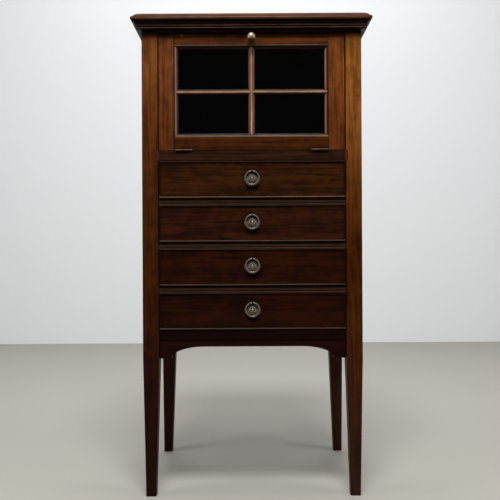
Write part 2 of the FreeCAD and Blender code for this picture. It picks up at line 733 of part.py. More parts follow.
def make_stay():
    """The right-hand quadrant stay on the door's back: a foot, an arc about the hinges' axis, and a peg."""
    outer_x = HALF_OPENING - STAY_SIDE_GAP
    inner_x = outer_x - STAY_THICKNESS
    inner, outer = STAY_RADIUS - STAY_WIDTH / 2, STAY_RADIUS + STAY_WIDTH / 2
    axis = [vec(x, HINGE_Y, HINGE_Z) for x in (inner_x, outer_x)]
    turned = rod(outer, *axis).cut(rod(inner, *axis))
    sector = slab("yz", [(HINGE_Y, HINGE_Z), (HINGE_Y, HINGE_Z + SPAN), (HINGE_Y + SPAN, HINGE_Z + SPAN),
                         on_swing(STAY_TAIL_ANGLE, SPAN)], (inner_x, outer_x))
    arc = turned.common(sector).common(block((inner_x, outer_x), (DOOR_BACK, BACK), (0, CASE_TOP)))
    _, foot_z = on_swing(0)
    foot = block((outer_x - STAY_FOOT_WIDTH, outer_x), (DOOR_BACK, DOOR_BACK + STAY_THICKNESS),
                 (foot_z - STAY_FOOT_HEIGHT / 2, foot_z + STAY_FOOT_HEIGHT / 2))
    peg_y, peg_z = on_swing(STAY_PEG_ANGLE)
    peg = rod(STAY_PEG_RADIUS, vec(inner_x, peg_y, peg_z), vec(HALF_OPENING - STAY_CLEARANCE, peg_y, peg_z))
    return joined([arc, foot, peg])


def make_stop_peg():
    """The right-hand peg in the post's inner face that the stay's peg comes up against."""
    y = DOOR_BACK + STOP_PEG_BACK
    z = HINGE_Z + (STAY_RADIUS ** 2 - (y - HINGE_Y) ** 2) ** 0.5
    face = HALF_OPENING - STAY_SIDE_GAP + STAY_CLEARANCE
    return rod(STOP_PEG_RADIUS, vec(face, y, z), vec(HALF_OPENING + STOP_PEG_ROOT, y, z))


def make_turn_catch():
    """The ball knob on its spindle, and the tongue behind the door that a quarter turn sets upright."""
    z = DOOR_TOP - KNOB_DROP
    collar = DOOR_FRONT - TURN_CLEARANCE
    ball_y = DOOR_FRONT - KNOB_REACH + KNOB_RADIUS
    tongue_y = DOOR_BACK + TURN_CLEARANCE
    tongue_back = tongue_y + TONGUE_THICKNESS
    knob = joined([
        Part.makeSphere(KNOB_RADIUS, vec(0, ball_y, z)),
        rod(KNOB_NECK_RADIUS, vec(0, collar, z), vec(0, ball_y, z)),
        rod(KNOB_COLLAR_RADIUS, vec(0, collar, z), vec(0, collar - KNOB_COLLAR, z)),
        rod(SPINDLE_RADIUS, vec(0, collar, z), vec(0, tongue_back, z)),
    ])
    limits_y = (tongue_y, tongue_back)
    half = TONGUE_WIDTH / 2
    tongue = joined([
        rod(TONGUE_HUB_RADIUS, vec(0, tongue_y, z), vec(0, tongue_back, z)),
        block((0, TONGUE_LENGTH - half), limits_y, (z - half, z + half)),
        rod(half, vec(TONGUE_LENGTH - half, tongue_y, z), vec(TONGUE_LENGTH - half, tongue_back, z)),
    ]).cut(rod(SPINDLE_RADIUS, vec(0, tongue_y, z), vec(0, tongue_back, z)))
    bore = rod(SPINDLE_RADIUS + SHAFT_CLEARANCE, vec(0, DOOR_FRONT, z), vec(0, DOOR_BACK, z))
    return knob, tongue, bore


# ---------------------------------------------------------------- drawers


def dovetails(root, tip, limits_z):
    """Tails that stand on a side board's end and widen from root to tip, over a stretch of height."""
    pitch = (limits_z[1] - limits_z[0]) / DOVETAIL_COUNT
    wide = (pitch - DOVETAIL_PIN) / 2
    narrow = wide - abs(tip - root) * DOVETAIL_SLOPE
    outer = HALF_OPENING - DRAWER_GAP_SIDE
    tails = []
    for n in range(DOVETAIL_COUNT):
        z = limits_z[0] + (n + 0.5) * pitch
        corners = [(root, z - narrow), (tip, z - wide), (tip, z + wide), (root, z + narrow)]
        tails.append(slab("yz", corners, (outer - DRAWER_SIDE_THICKNESS, outer)))
    return tails


def make_drawer_box(level):
    """A drawer's front, sides, back and bottom, dovetailed together, with the bottom in grooves."""
    half = HALF_OPENING - DRAWER_GAP_SIDE
    front_back = FRONT + DRAWER_FRONT_THICKNESS
    end = REAR_POST_FRONT - DRAWER_END_ROOM
    back_face = end - DRAWER_BACK_THICKNESS
    rebate = FRONT + COCK_BEAD_REBATE
    low, high = level + DRAWER_GAP, level + DRAWER_OPENING - DRAWER_GAP
    side_low, side_high = level + RUN_CLEARANCE, high - DRAWER_SIDE_DROP
    board_low = side_low + DRAWER_BOTTOM_RISE
    board_high = board_low + DRAWER_BOTTOM_THICKNESS
    back_high = side_high - DRAWER_BACK_DROP
    inner = half - DRAWER_SIDE_THICKNESS
    groove = inner + DRAWER_BOTTOM_GROOVE
    bottom = block((-groove, groove), (front_back - DRAWER_BOTTOM_GROOVE, end), (board_low, board_high))
    side = [block((inner, half), (front_back, back_face), (side_low, side_high)),
            block((inner, half), (back_face, end), (side_low, board_high)),
            block((inner, half), (back_face, end), (back_high, side_high))]
    side += dovetails(front_back, front_back - DOVETAIL_LENGTH, (low, side_high))
    side += dovetails(back_face, end, (board_high, back_high))
    sides = pair(joined(side).cut(bottom))
    back = block((-half, half), (back_face, end), (board_high, back_high))
    front = joined([block((-half, half), (rebate, front_back), (low, high)),
                    block((-half + COCK_BEAD, half - COCK_BEAD), (FRONT, front_back),
                          (low + COCK_BEAD, high - COCK_BEAD))]).cut(bottom)
    for piece in sides:
        front = front.cut(piece)
        back = back.cut(piece)
    return front, sides + [back], bottom


def make_cock_bead(level):
    """The round-edged bead let in round a drawer's front, standing proud of it."""
    half = HALF_OPENING - DRAWER_GAP_SIDE
    tip = FRONT - COCK_BEAD_PROUD
    back = FRONT + COCK_BEAD_REBATE
    turn = COCK_BEAD / 2

    def section(plane, at):
        return (Outline(plane, at, (0, back)).to((0, tip + turn))
                .quarter((turn, tip + turn), (turn, tip))
                .quarter((turn, tip + turn), (COCK_BEAD, tip + turn)).to((COCK_BEAD, back)))

    return mitred_frame((-half, half), (level + DRAWER_GAP, level + DRAWER_OPENING - DRAWER_GAP),
                        COCK_BEAD, section)


def handle_centre(level):
    """The height of a drawer's handle."""
    return level + DRAWER_OPENING / 2 + HANDLE_RISE


def ring_plane():
    """The y of the ring's centre line as it hangs just clear of the plate."""
    return FRONT - PLATE_THICKNESS - RING_BACK_GAP - RING_WIRE_RADIUS


def turn_plate(z, bolt_length):
    """The handle's plate turned in one with its bolt: nipple, two raised steps, dish and raised rim.

    The first drawn number is the distance out from the drawer's face and the second the radius."""
    step = PLATE_THICKNESS + BOSS_HEIGHT
    crown = step + BOSS_STEP_HEIGHT
    dish = PLATE_THICKNESS - PLATE_DISH
    rim_wall = PLATE_THICKNESS + PLATE_RIM_HEIGHT - PLATE_RIM_SLOPE
    outline = Outline("yz", lambda out, radius: (FRONT - out, z + radius), (crown + NIPPLE_RADIUS, 0))
    outline.quarter((crown, 0), (crown, NIPPLE_RADIUS))

    def crest(height, edge, width, slope):
        """A raised ring with sloping sides, which ends at a radius."""
        outline.to((height, edge - width), (height + slope, edge - width + slope),
                   (height + slope, edge - slope), (height, edge))

    crest(crown, BOSS_STEP_RADIUS, BOSS_CREST_WIDTH, BOSS_CREST_SLOPE)
    outline.to((step, BOSS_STEP_RADIUS))
    crest(step, BOSS_RADIUS, BOSS_CREST_WIDTH, BOSS_CREST_SLOPE)
    outline.to((dish, BOSS_RADIUS), (dish, PLATE_RADIUS - PLATE_RIM_WIDTH))
    crest(rim_wall, PLATE_RADIUS, PLATE_RIM_WIDTH, PLATE_RIM_SLOPE)
    outline.to((0, PLATE_RADIUS), (0, BOLT_RADIUS), (-bolt_length, BOLT_RADIUS), (-bolt_length, 0))
    return outline.turned(vec(0, FRONT, z), vec(0, 1, 0))


def make_handle(level):
    """A turned plate with the eye that holds its ring, the ring, and the bolt's nut."""
    z = handle_centre(level)
    ring_y = ring_plane()
    eye_z = z + RING_RADIUS
    eye_radius = RING_WIRE_RADIUS + EYE_CLEARANCE + EYE_WALL
    side = EYE_WIDTH / 2
    eye = joined([rod(eye_radius, vec(-side, ring_y, eye_z), vec(side, ring_y, eye_z)),
                  block((-side, side), (ring_y, FRONT), (eye_z - eye_radius, eye_z + eye_radius))])
    hole = rod(RING_WIRE_RADIUS + EYE_CLEARANCE, vec(-EYE_WIDTH, ring_y, eye_z),
               vec(EYE_WIDTH, ring_y, eye_z))
    nut_start = FRONT + DRAWER_FRONT_THICKNESS
    bolt_length = DRAWER_FRONT_THICKNESS + NUT_THICKNESS
    bolt = rod(BOLT_RADIUS, vec(0, FRONT, z), vec(0, FRONT + bolt_length, z))
    plate = joined([turn_plate(z, bolt_length), eye]).cut(hole)
    turns = [2 * pi * n / NUT_SIDES for n in range(NUT_SIDES)]
    corners = [(NUT_RADIUS * cos(turn), z + NUT_RADIUS * sin(turn)) for turn in turns]
    nut = slab("xz", corners, (nut_start, nut_start + NUT_THICKNESS)).cut(bolt)
    ring = Part.makeTorus(RING_RADIUS, RING_WIRE_RADIUS, vec(0, ring_y, z), vec(0, 1, 0))
    return plate, nut, ring, bolt


# ---------------------------------------------------------------- the whole cabinet


def make_case():
    """Every fixed piece of the case, with the pieces that it holds cut into it."""
    stop_peg = make_stop_peg()
    side_panel = make_side_panel()
    side_top = side_rail((CASE_TOP - SIDE_TOP_RAIL_HEIGHT, CASE_TOP)).cut(side_panel)
    side_apron = make_side_apron().cut(side_panel)
    back_panel, back_rails = make_back()
    floor = make_compartment_floor()
    fixed_leaf, _, _ = make_hinge()
    mid_rail = make_mid_rail().cut(floor)
    for piece in pair(fixed_leaf) + pair(knuckle_room()):
        mid_rail = mid_rail.cut(piece)
    levels = [drawer_level(n) for n in range(1, DRAWER_COUNT + 1)]
    dividers = [front_rail(level - DIVIDER_THICKNESS, DIVIDER_THICKNESS) for level in levels[:-1]]
    lower_rail = front_rail(APRON_TOP, LOWER_RAIL_HEIGHT)
    top_rail = front_rail(TOP_RAIL_BOTTOM, TOP_RAIL_HEIGHT, RAIL_THICKNESS)
    apron = make_front_apron()
    front_post = make_post(True, [side_panel, side_top, side_apron, mid_rail, lower_rail, top_rail, apron,
                                  stop_peg] + dividers)
    rear_post = make_post(False, [side_panel, side_top, side_apron, back_panel] + back_rails)
    cornice_front, cornice_returns = make_cornice()
    runners = [make_runner(level).cut(side_apron) for level in levels]
    return {
        "post_front_left": [mirrored(front_post)],
        "post_front_right": [front_post],
        "post_back_left": [mirrored(rear_post)],
        "post_back_right": [rear_post],
        "side_panel_left": [mirrored(side_panel)],
        "side_panel_right": [side_panel],
        "side_top_rails": pair(side_top),
        "side_aprons": pair(side_apron),
        "back_panel": [back_panel],
        "back_rails": back_rails,
        "top_rail": [top_rail],
        "mid_rail": [mid_rail],
        "drawer_dividers": dividers,
        "lower_rail": [lower_rail],
        "front_apron": [apron],
        "top_board": [make_top_board()],
        "cornice_front": [cornice_front],
        "cornice_returns": cornice_returns,
        "compartment_floor": [floor],
        "drawer_runners": [piece for runner in runners for piece in pair(runner)],
        "drawer_stops": [piece for level in levels for piece in pair(make_drawer_stop(level))],
        "stay_stop_pegs": pair(stop_peg),
    }


def make_door():
    """The glazed door with its bars, glass and ironwork, and the hinges' fixed leaves and pins."""
    left, right, bottom, top = make_door_frame()
    upright, cross = make_glazing_bars([left, right, bottom, top])
    panes, beads = make_glazing()
    fixed_leaf, door_leaf, pin = make_hinge()
    knob, tongue, bore = make_turn_catch()
    for piece in pair(door_leaf) + pair(knuckle_room()):
        bottom = bottom.cut(piece)
    for piece in pair(knuckle_room()):
        left, right = left.cut(piece), right.cut(piece)
    return {
        "hinge_fixed_leaves": pair(fixed_leaf),
        "hinge_pins": pair(pin),
        "door_stile_left": [left.cut(mirrored(door_leaf))],
        "door_stile_right": [right.cut(door_leaf)],
        "door_bottom_rail": [bottom],
        "door_top_rail": [top.cut(bore)],
        "glazing_bar_upright": [upright],
        "glazing_bar_cross": cross,
        "glass_panes": panes,
        "glazing_beads": beads,
        "hinge_door_leaves": pair(door_leaf),
        "door_stays": pair(make_stay()),
        "door_knob": [knob],
        "catch_tongue": [tongue],
    }


def make_drawer(number):
    """One drawer with its bead and ring handle; number 1 is the uppermost."""
    level = drawer_level(number)
    front, box, bottom = make_drawer_box(level)
    plate, nut, ring, bolt = make_handle(level)
    return {
        f"drawer_{number}_front": [front.cut(bolt)],
        f"drawer_{number}_cock_bead": make_cock_bead(level),
        f"drawer_{number}_box": box,
        f"drawer_{number}_bottom": [bottom],
        f"drawer_{number}_plate": [plate, nut],
        f"drawer_{number}_ring": [ring],
    }


def main():
    """Make every piece and write each node's solids to its own STEP file."""
    nodes = {**make_case(), **make_door()}
    for number in range(1, DRAWER_COUNT + 1):
        nodes.update(make_drawer(number))
    os.makedirs("parts", exist_ok=True)
    for name, solids in nodes.items():
        shape = Part.makeCompound(solids) if len(solids) > 1 else solids[0]
        shape.exportStep(f"parts/{name}.step")


main()
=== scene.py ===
"""A haberdashery cabinet in french polished mahogany, dressed and lit in Blender."""
import logging
import math
from collections.abc import Mapping
from dataclasses import dataclass, replace
from enum import Enum
from typing import Any, Union

import bpy
import numpy as np
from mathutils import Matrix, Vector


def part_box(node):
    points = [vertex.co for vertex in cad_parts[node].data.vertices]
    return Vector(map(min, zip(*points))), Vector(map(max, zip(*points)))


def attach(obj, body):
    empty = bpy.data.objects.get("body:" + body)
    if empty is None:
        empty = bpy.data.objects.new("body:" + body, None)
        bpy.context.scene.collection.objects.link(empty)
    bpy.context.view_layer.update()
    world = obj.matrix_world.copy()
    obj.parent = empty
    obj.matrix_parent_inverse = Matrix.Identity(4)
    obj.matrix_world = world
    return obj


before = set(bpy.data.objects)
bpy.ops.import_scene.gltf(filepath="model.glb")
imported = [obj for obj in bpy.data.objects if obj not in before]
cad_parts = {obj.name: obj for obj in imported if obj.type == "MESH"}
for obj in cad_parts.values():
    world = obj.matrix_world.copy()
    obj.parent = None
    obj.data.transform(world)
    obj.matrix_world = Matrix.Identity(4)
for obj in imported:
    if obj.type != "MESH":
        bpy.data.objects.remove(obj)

LOG = logging.getLogger("haberdashery_cabinet")
MM = 0.001
# What turns metres into millimetres along each axis.
TO_MM = (1 / MM, 1 / MM, 1 / MM)
# The map range that starts and ends softly.
EASED = "SMOOTHSTEP"
# A colour mix's inputs by number, since its mixes of numbers and of vectors have inputs of the same names.
SHARE, UNDER, OVER = 0, 6, 7

Node = bpy.types.Node
Socket = bpy.types.NodeSocket
Tree = bpy.types.NodeTree
Colour = tuple[float, float, float, float]
Tones = tuple[tuple[float, str], ...]


# ---- shader and mesh helpers


def linear(shade: str, strength: float = 1.0) -> Colour:
    """Turns an sRGB hex colour into the linear RGBA that a shader takes.

    Args:
        shade: six hex digits, such as "6a3c1c".
        strength: what the linear red, green and blue are multiplied by.

    Returns:
        Red, green, blue and an alpha of 1.
    """
    parts = [int(shade[n:n + 2], 16) / 255 for n in (0, 2, 4)]
    lit = [c / 12.92 if c <= 0.04045 else ((c + 0.055) / 1.055) ** 2.4 for c in parts]
    return (lit[0] * strength, lit[1] * strength, lit[2] * strength, 1.0)


def add(tree: Tree, kind: str, inputs: Union[Mapping[Any, Any], tuple[Any, ...]] = (),
        stops: tuple[tuple[float, Colour], ...] = (), **settings: Any) -> Node:
    """Adds one node, sets it up, and links or fills its inputs.

    Args:
        tree: the node tree that it goes in.
        kind: the node's Blender type.
        inputs: what each input takes, by its name or number, or as a plain row in the inputs' own order:
            a value, a socket, or a node, which gives the first of its outputs that is in use.
        stops: a colour ramp's places and colours, from the lowest place up.
        settings: the node's own properties.

    Returns:
        The new node.
    """
    node = tree.nodes.new(kind)
    for key, value in settings.items():
        setattr(node, key, value)
    for key, value in (inputs if isinstance(inputs, Mapping) else dict(enumerate(inputs))).items():
        if isinstance(value, Node):
            value = next(output for output in value.outputs if output.enabled)
        if isinstance(value, Socket):
            tree.links.new(value, node.inputs[key])
        else:
            node.inputs[key].default_value = value
    if stops:
        ramp = node.color_ramp.elements
        ramp.remove(ramp[1])
        ramp[0].position, ramp[0].color = stops[0]
        for position, colour in stops[1:]:
            ramp.new(position).color = colour
    return node


def lowest(node: str) -> float:
    """The height in mm of a CAD node's lowest point above the floor."""
    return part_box(node)[0][2] / MM


def place_mesh(name: str, points: np.ndarray, faces: np.ndarray, material: bpy.types.Material,
               sharp_deg: float = 35.0) -> bpy.types.Object:
    """Makes a mesh object at the origin from whole arrays of points and four-cornered faces.

    Args:
        name: the piece's name.
        points: one row of x, y and z in metres for each vertex.
        faces: one row of vertex numbers for each face.
        material: the piece's finish.
        sharp_deg: edges that turn more than this stay sharp.

    Returns:
        The new object, linked to the scene.
    """
    mesh = bpy.data.meshes.new(name)
    mesh.vertices.add(len(points))
    mesh.vertices.foreach_set("co", np.asarray(points, np.float32).ravel())
    mesh.loops.add(faces.size)
    mesh.loops.foreach_set("vertex_index", faces.astype(np.int32).ravel())
    mesh.polygons.add(len(faces))
    mesh.polygons.foreach_set("loop_start", np.arange(0, faces.size, faces.shape[1], dtype=np.int32))
    mesh.update(calc_edges=True)
    mesh.validate()
    mesh.shade_smooth()
    mesh.set_sharp_from_angle(angle=math.radians(sharp_deg))
    mesh.materials.append(material)
    piece = bpy.data.objects.new(name, mesh)
    bpy.context.scene.collection.objects.link(piece)
    return piece


# ---- finishes


@dataclass(frozen=True)
class Finish:
    """What every finish has: a name, and a Principled shader that its patterns feed.

    Attributes:
        name: what the surface is made of, in plain words.
    """

    name: str

    def surface(self, tree: Tree) -> dict[str, Any]:
        """Works out the Principled shader's inputs by name, with patterns in the tree where it has any."""
        raise NotImplementedError(self.name)

    def material(self) -> bpy.types.Material:
        """Builds the material.

        Returns:
            The material, with one Principled shader for its surface.
        """
        material = bpy.data.materials.new(self.name)
        material.use_nodes = True
        tree = material.node_tree
        tree.nodes.clear()
        shader = add(tree, "ShaderNodeBsdfPrincipled", self.surface(tree))
        add(tree, "ShaderNodeOutputMaterial", (shader,))
        return material

    def paint(self, *nodes: str) -> bpy.types.Material:
        """Gives CAD nodes this finish.

        Args:
            nodes: the CAD nodes' names.

        Returns:
            The material that they share.
        """
        material = self.material()
        for node in nodes:
            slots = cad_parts[node].data.materials
            slots.clear()
            slots.append(material)
            LOG.info("%s: %s", node, self.name)
        return material


class Grain(Enum):
    """Which way a board's grain runs, with the turn that lays it along a pattern's first axis."""

    ACROSS = (0.0, 0.0, 0.0)
    DEEP = (0.0, 0.0, -math.pi / 2)
    UPRIGHT = (0.0, math.pi / 2, 0.0)


@dataclass(frozen=True)
class GrainPattern:
    """A noise whose patches are drawn out along a board's grain.

    Attributes:
        along: how long the patches are along the grain, in mm.
        across: how wide they are, in mm.
        detail: how many finer layers lie in them.
        warp: how far they stray from straight.
        rough: how strong the finer layers are, from 0 to 1.
    """

    along: float
    across: float
    detail: float
    warp: float = 0.0
    rough: float = 0.55

    def grow(self, tree: Tree, laid: Node) -> Node:
        """Adds the pattern to a board.

        Args:
            tree: the board's node tree.
            laid: places on the board in mm, with its grain along the first axis.

        Returns:
            The pattern, from 0 to 1.
        """
        drawn = add(tree, "ShaderNodeMapping", {
            "Vector": laid, "Scale": (1 / self.along, 1 / self.across, 1 / self.across)})
        return add(tree, "ShaderNodeTexNoise", {
            "Vector": drawn, "Scale": 1.0, "Detail": self.detail, "Distortion": self.warp,
            "Roughness": self.rough})


@dataclass(frozen=True)
class Wood(Finish):
    """What each cut of wood has besides.

    Attributes:
        grain: which way the board was cut.
        seed: picks the board's own stretch of figure.
    """

    grain: Grain
    seed: float

    def lay(self, tree: Tree, at: Socket, apart: tuple[float, float, float]) -> Node:
        """Lays the board's grain.

        Args:
            tree: the board's node tree.
            at: places on the board in metres.
            apart: how far apart two boards whose seeds differ by 1 are cut from the log, in mm.

        Returns:
            Places in the log in mm, with the grain along the first axis.
        """
        return add(tree, "ShaderNodeMapping", {
            "Vector": at, "Rotation": self.grain.value, "Scale": TO_MM,
            "Location": tuple(self.seed * step for step in apart)})


@dataclass(frozen=True)
class Band:
    """A strip of a board in another colour, such as a painted shadow along a seam, painted light and shade on
    a moulding, or a rail's end in its post's tone, measured out from the cabinet's middle.

    Attributes:
        near: where the strip starts, in mm to either side of the middle.
        far: where it ends.
        soft: how far each of its sides fades, in mm.
        shade: its colour.
        share: how much of that colour it takes, from 0 to 1.
    """

    near: float
    far: float
    soft: float
    shade: str
    share: float

    def colour(self, tree: Tree, aside: Node, wood: Node) -> Node:
        """Lays the strip over a board's colour.

        Args:
            tree: the board's node tree.
            aside: how far each place is from the cabinet's middle, in metres.
            wood: the board's colour so far.

        Returns:
            The board's colour with the strip.
        """
        rise = add(tree, "ShaderNodeMapRange", (
            aside, (self.near - self.soft) * MM, self.near * MM, 0.0, self.share), interpolation_type=EASED)
        fall = add(tree, "ShaderNodeMapRange", (
            aside, self.far * MM, (self.far + self.soft) * MM, 1.0, 0.0), interpolation_type=EASED)
        share = add(tree, "ShaderNodeMath", (rise, fall), operation="MULTIPLY")
        return add(tree, "ShaderNodeMix", {SHARE: share, UNDER: wood, OVER: linear(self.shade)},
                   data_type="RGBA")


@dataclass(frozen=True)
class Spot:
    """An oval mark on a board's front, such as a stopped hole, a smear of wax or a painted shadow under a
    handle.

    Attributes:
        x: how far right of the cabinet's middle its centre is, in mm.
        z: its centre's height above the board's lowest edge, in mm.
        wide: half its width, in mm.
        tall: half its height, in mm.
        shade: its colour.
        share: how much of that colour its middle takes, from 0 to 1.
    """

    x: float
    z: float
    wide: float
    tall: float
    shade: str
    share: float

    # The middle of the oval that has its full colour, as a share of its size.
    CORE = 0.35

    def colour(self, tree: Tree, at: Socket, foot: float, wood: Node) -> Node:
        """Lays the mark over a board's colour.

        Args:
            tree: the board's node tree.
            at: places on the board in metres.
            foot: the height of the board's lowest edge, in mm.
            wood: the board's colour so far.

        Returns:
            The board's colour with the mark.
        """
        oval = add(tree, "ShaderNodeMapping", {
            "Vector": at, "Location": (-self.x / self.wide, 0, -(foot + self.z) / self.tall),
            "Scale": (1 / (self.wide * MM), 0, 1 / (self.tall * MM))})
        away = add(tree, "ShaderNodeVectorMath", (oval,), operation="LENGTH")
        share = add(tree, "ShaderNodeMapRange", (away, self.CORE, 1.0, self.share, 0.0),
                    interpolation_type=EASED)
        return add(tree, "ShaderNodeMix", {SHARE: share, UNDER: wood, OVER: linear(self.shade)},
                   data_type="RGBA")


@dataclass(frozen=True)
class PolishedMahogany(Wood):
    """Cuban mahogany, planed, stained and french polished: brown-red figure, dark pores and a thin gloss.

    Shellac rubbed on by hand lies over the wood as a clear coat. The upper boards are lighter and more
    orange-brown, partly bleached by daylight and partly painted light falling from above, and handling, old
    wax and painted shade leave the corners and hollows dark.

    Attributes:
        tones: the wood's mean colours, each with its height in mm above the board's lowest edge, from the
        lowest up; they also carry painted light and painted shade.
        foot: the height of that edge above the floor, in mm.
        figure: how wide the figure's bands are, in mm.
        contrast: how strongly light and dark bands differ.
        gloss: the polish's roughness.
        coat: how much polish there is.
        rub_and_shade: how dark wax, handling and painted shade leave the corners, from 0 to 1.
        bands: strips of another colour.
        spots: oval marks.
    """

    tones: Tones
    foot: float = 0.0
    figure: float = 14.0
    contrast: float = 1.0
    gloss: float = 0.16
    coat: float = 0.2
    rub_and_shade: float = 0.75
    bands: tuple[Band, ...] = ()
    spots: tuple[Spot, ...] = ()

    APART = (311.0, 173.0, 97.0)
    # How long the figure's bands are along the grain, in mm.
    FIGURE_LENGTH = 200.0
    STREAKS = GrainPattern(90.0, 3.4, 2.0, 0.3)
    MOTTLE = GrainPattern(30.0, 22.0, 2.0, 0.5)
    # Heartwood and sapwood differ in hue: where this pattern is high the wood is yellower, elsewhere redder.
    HUE = GrainPattern(110.0, 9.0, 2.0, 0.6)
    YELLOWER = (1.02, 1.07, 0.85, 1.0)
    # The pores are a few tenths of a millimetre wide; they are drawn coarser, so that they show.
    PORES = GrainPattern(12.0, 1.0, 1.0)
    # The colour that the hollows darken to: old wax and painted shade.
    WAX_AND_SHADE = "060201"
    # How light the dark bands, the light bands, the pores and the corners are, against the mean tone; the
    # corners are dark with handling and painted shade.
    DARK, LIGHT, PORE, DIRT = 0.55, 1.45, 0.25, 0.12
    # In mm: how far from a wall wax and painted shade reach, how round an arris is, and how far in from it
    # handling and painted shade darken.
    HOLLOW = 6.0
    ARRIS = 0.9
    CORNER = 3.0

    @classmethod
    def dress(cls, node: str, grain: Grain, seed: float, tones: Tones, **finish: Any) -> None:
        """Gives one CAD board this finish, with its tones measured up from its own lowest edge."""
        cls(f"mahogany {node}", grain, seed, tones, lowest(node), **finish).paint(node)

    @property
    def reach(self) -> tuple[float, float]:
        """The heights of the lowest and the highest tone, at least 1 mm apart."""
        return self.tones[0][0], max(self.tones[-1][0], self.tones[0][0] + 1.0)

    def toned(self, tree: Tree, height: Node, strength: float) -> Node:
        """Works out the wood's mean colour at each height.

        Args:
            tree: the board's node tree.
            height: each place's height, from 0 at the lowest tone to 1 at the highest.
            strength: how much lighter the tones are made, or below 1 how much darker.

        Returns:
            The colour.
        """
        low, high = self.reach
        return add(tree, "ShaderNodeValToRGB", (height,), stops=tuple(
            ((level - low) / (high - low), linear(shade, strength)) for level, shade in self.tones))

    def figured(self, tree: Tree, laid: Node, height: Node, streaks: Node, pores: Node) -> Node:
        """Colours the bare wood.

        It is light where bands + streaks / 2 + 0.6 * mottle is high and dark where that is low. Its hue
        varies in patches of another size, and the pores are darker.

        Args:
            tree: the board's node tree.
            laid: places along its grain in mm.
            height: each place's height, from 0 at the lowest tone to 1 at the highest.
            streaks: the fine streaks.
            pores: where the pores are, from 0 to 1.

        Returns:
            The colour.
        """
        bands = GrainPattern(self.FIGURE_LENGTH, self.figure, 2.0, 0.8).grow(tree, laid)
        depth = add(tree, "ShaderNodeMath", (streaks, 0.5, bands), operation="MULTIPLY_ADD")
        mottle = self.MOTTLE.grow(tree, laid)
        depth = add(tree, "ShaderNodeMath", (mottle, 0.6, depth), operation="MULTIPLY_ADD")
        middle, half = 1.05, 0.26 / self.contrast
        share = add(tree, "ShaderNodeMapRange", (depth, middle - half, middle + half, 0.0, 1.0),
                    interpolation_type=EASED)
        wood = add(tree, "ShaderNodeMix", {
            SHARE: share, UNDER: self.toned(tree, height, self.DARK),
            OVER: self.toned(tree, height, self.LIGHT)}, data_type="RGBA")
        hue = add(tree, "ShaderNodeMapRange", (self.HUE.grow(tree, laid), 0.38, 0.62, 0.0, 1.0),
                  interpolation_type=EASED)
        wood = add(tree, "ShaderNodeMix", {SHARE: hue, UNDER: wood, OVER: self.YELLOWER},
                   data_type="RGBA", blend_type="MULTIPLY")
        share = add(tree, "ShaderNodeMath", (pores, 0.25), operation="MULTIPLY")
        return add(tree, "ShaderNodeMix", {
            SHARE: share, UNDER: wood, OVER: self.toned(tree, height, self.PORE)}, data_type="RGBA")

    def marked(self, tree: Tree, at: Socket, wood: Node) -> Node:
        """Lays the strips and the oval marks over the wood.

        Args:
            tree: the board's node tree.
            at: places on the board in metres.
            wood: the bare wood's colour.

        Returns:
            The colour.
        """
        if self.bands:
            across = add(tree, "ShaderNodeSeparateXYZ", (at,)).outputs["X"]
            aside = add(tree, "ShaderNodeMath", (across,), operation="ABSOLUTE")
            for band in self.bands:
                wood = band.colour(tree, aside, wood)
        for spot in self.spots:
            wood = spot.colour(tree, at, self.foot, wood)
        return wood

    def waxed_and_shaded(self, tree: Tree, height: Node, wood: Node) -> Node:
        """Lays old wax and painted shade in the hollows, and darkens the corners with handling and painted
        shade.

        A corner is where the normal of the surface with its edges rounded turns away from the flat one.

        Args:
            tree: the board's node tree.
            height: each place's height, from 0 at the lowest tone to 1 at the highest.
            wood: the wood's colour.

        Returns:
            The colour.
        """
        # Painted shade and old wax: the wood darkens where ambient occlusion finds walls near.
        sky = add(tree, "ShaderNodeAmbientOcclusion", {"Distance": self.HOLLOW * MM}, samples=6).outputs["AO"]
        share = add(tree, "ShaderNodeMapRange", (sky, 0.2, 0.75, 0.85, 0.0), interpolation_type=EASED)
        wood = add(tree, "ShaderNodeMix", {SHARE: share, UNDER: wood, OVER: linear(self.WAX_AND_SHADE)},
                   data_type="RGBA")
        # Painted shade along the edges and seams, with handling: the wood darkens where the rounded normal
        # turns away.
        rounded = add(tree, "ShaderNodeBevel", {"Radius": self.CORNER * MM}, samples=6)
        flat = add(tree, "ShaderNodeNewGeometry").outputs["True Normal"]
        facing = add(tree, "ShaderNodeVectorMath", (rounded, flat), operation="DOT_PRODUCT")
        share = add(tree, "ShaderNodeMapRange", (facing, 0.84, 0.995, self.rub_and_shade, 0.0),
                    interpolation_type=EASED)
        return add(tree, "ShaderNodeMix", {
            SHARE: share, UNDER: wood, OVER: self.toned(tree, height, self.DIRT)}, data_type="RGBA")

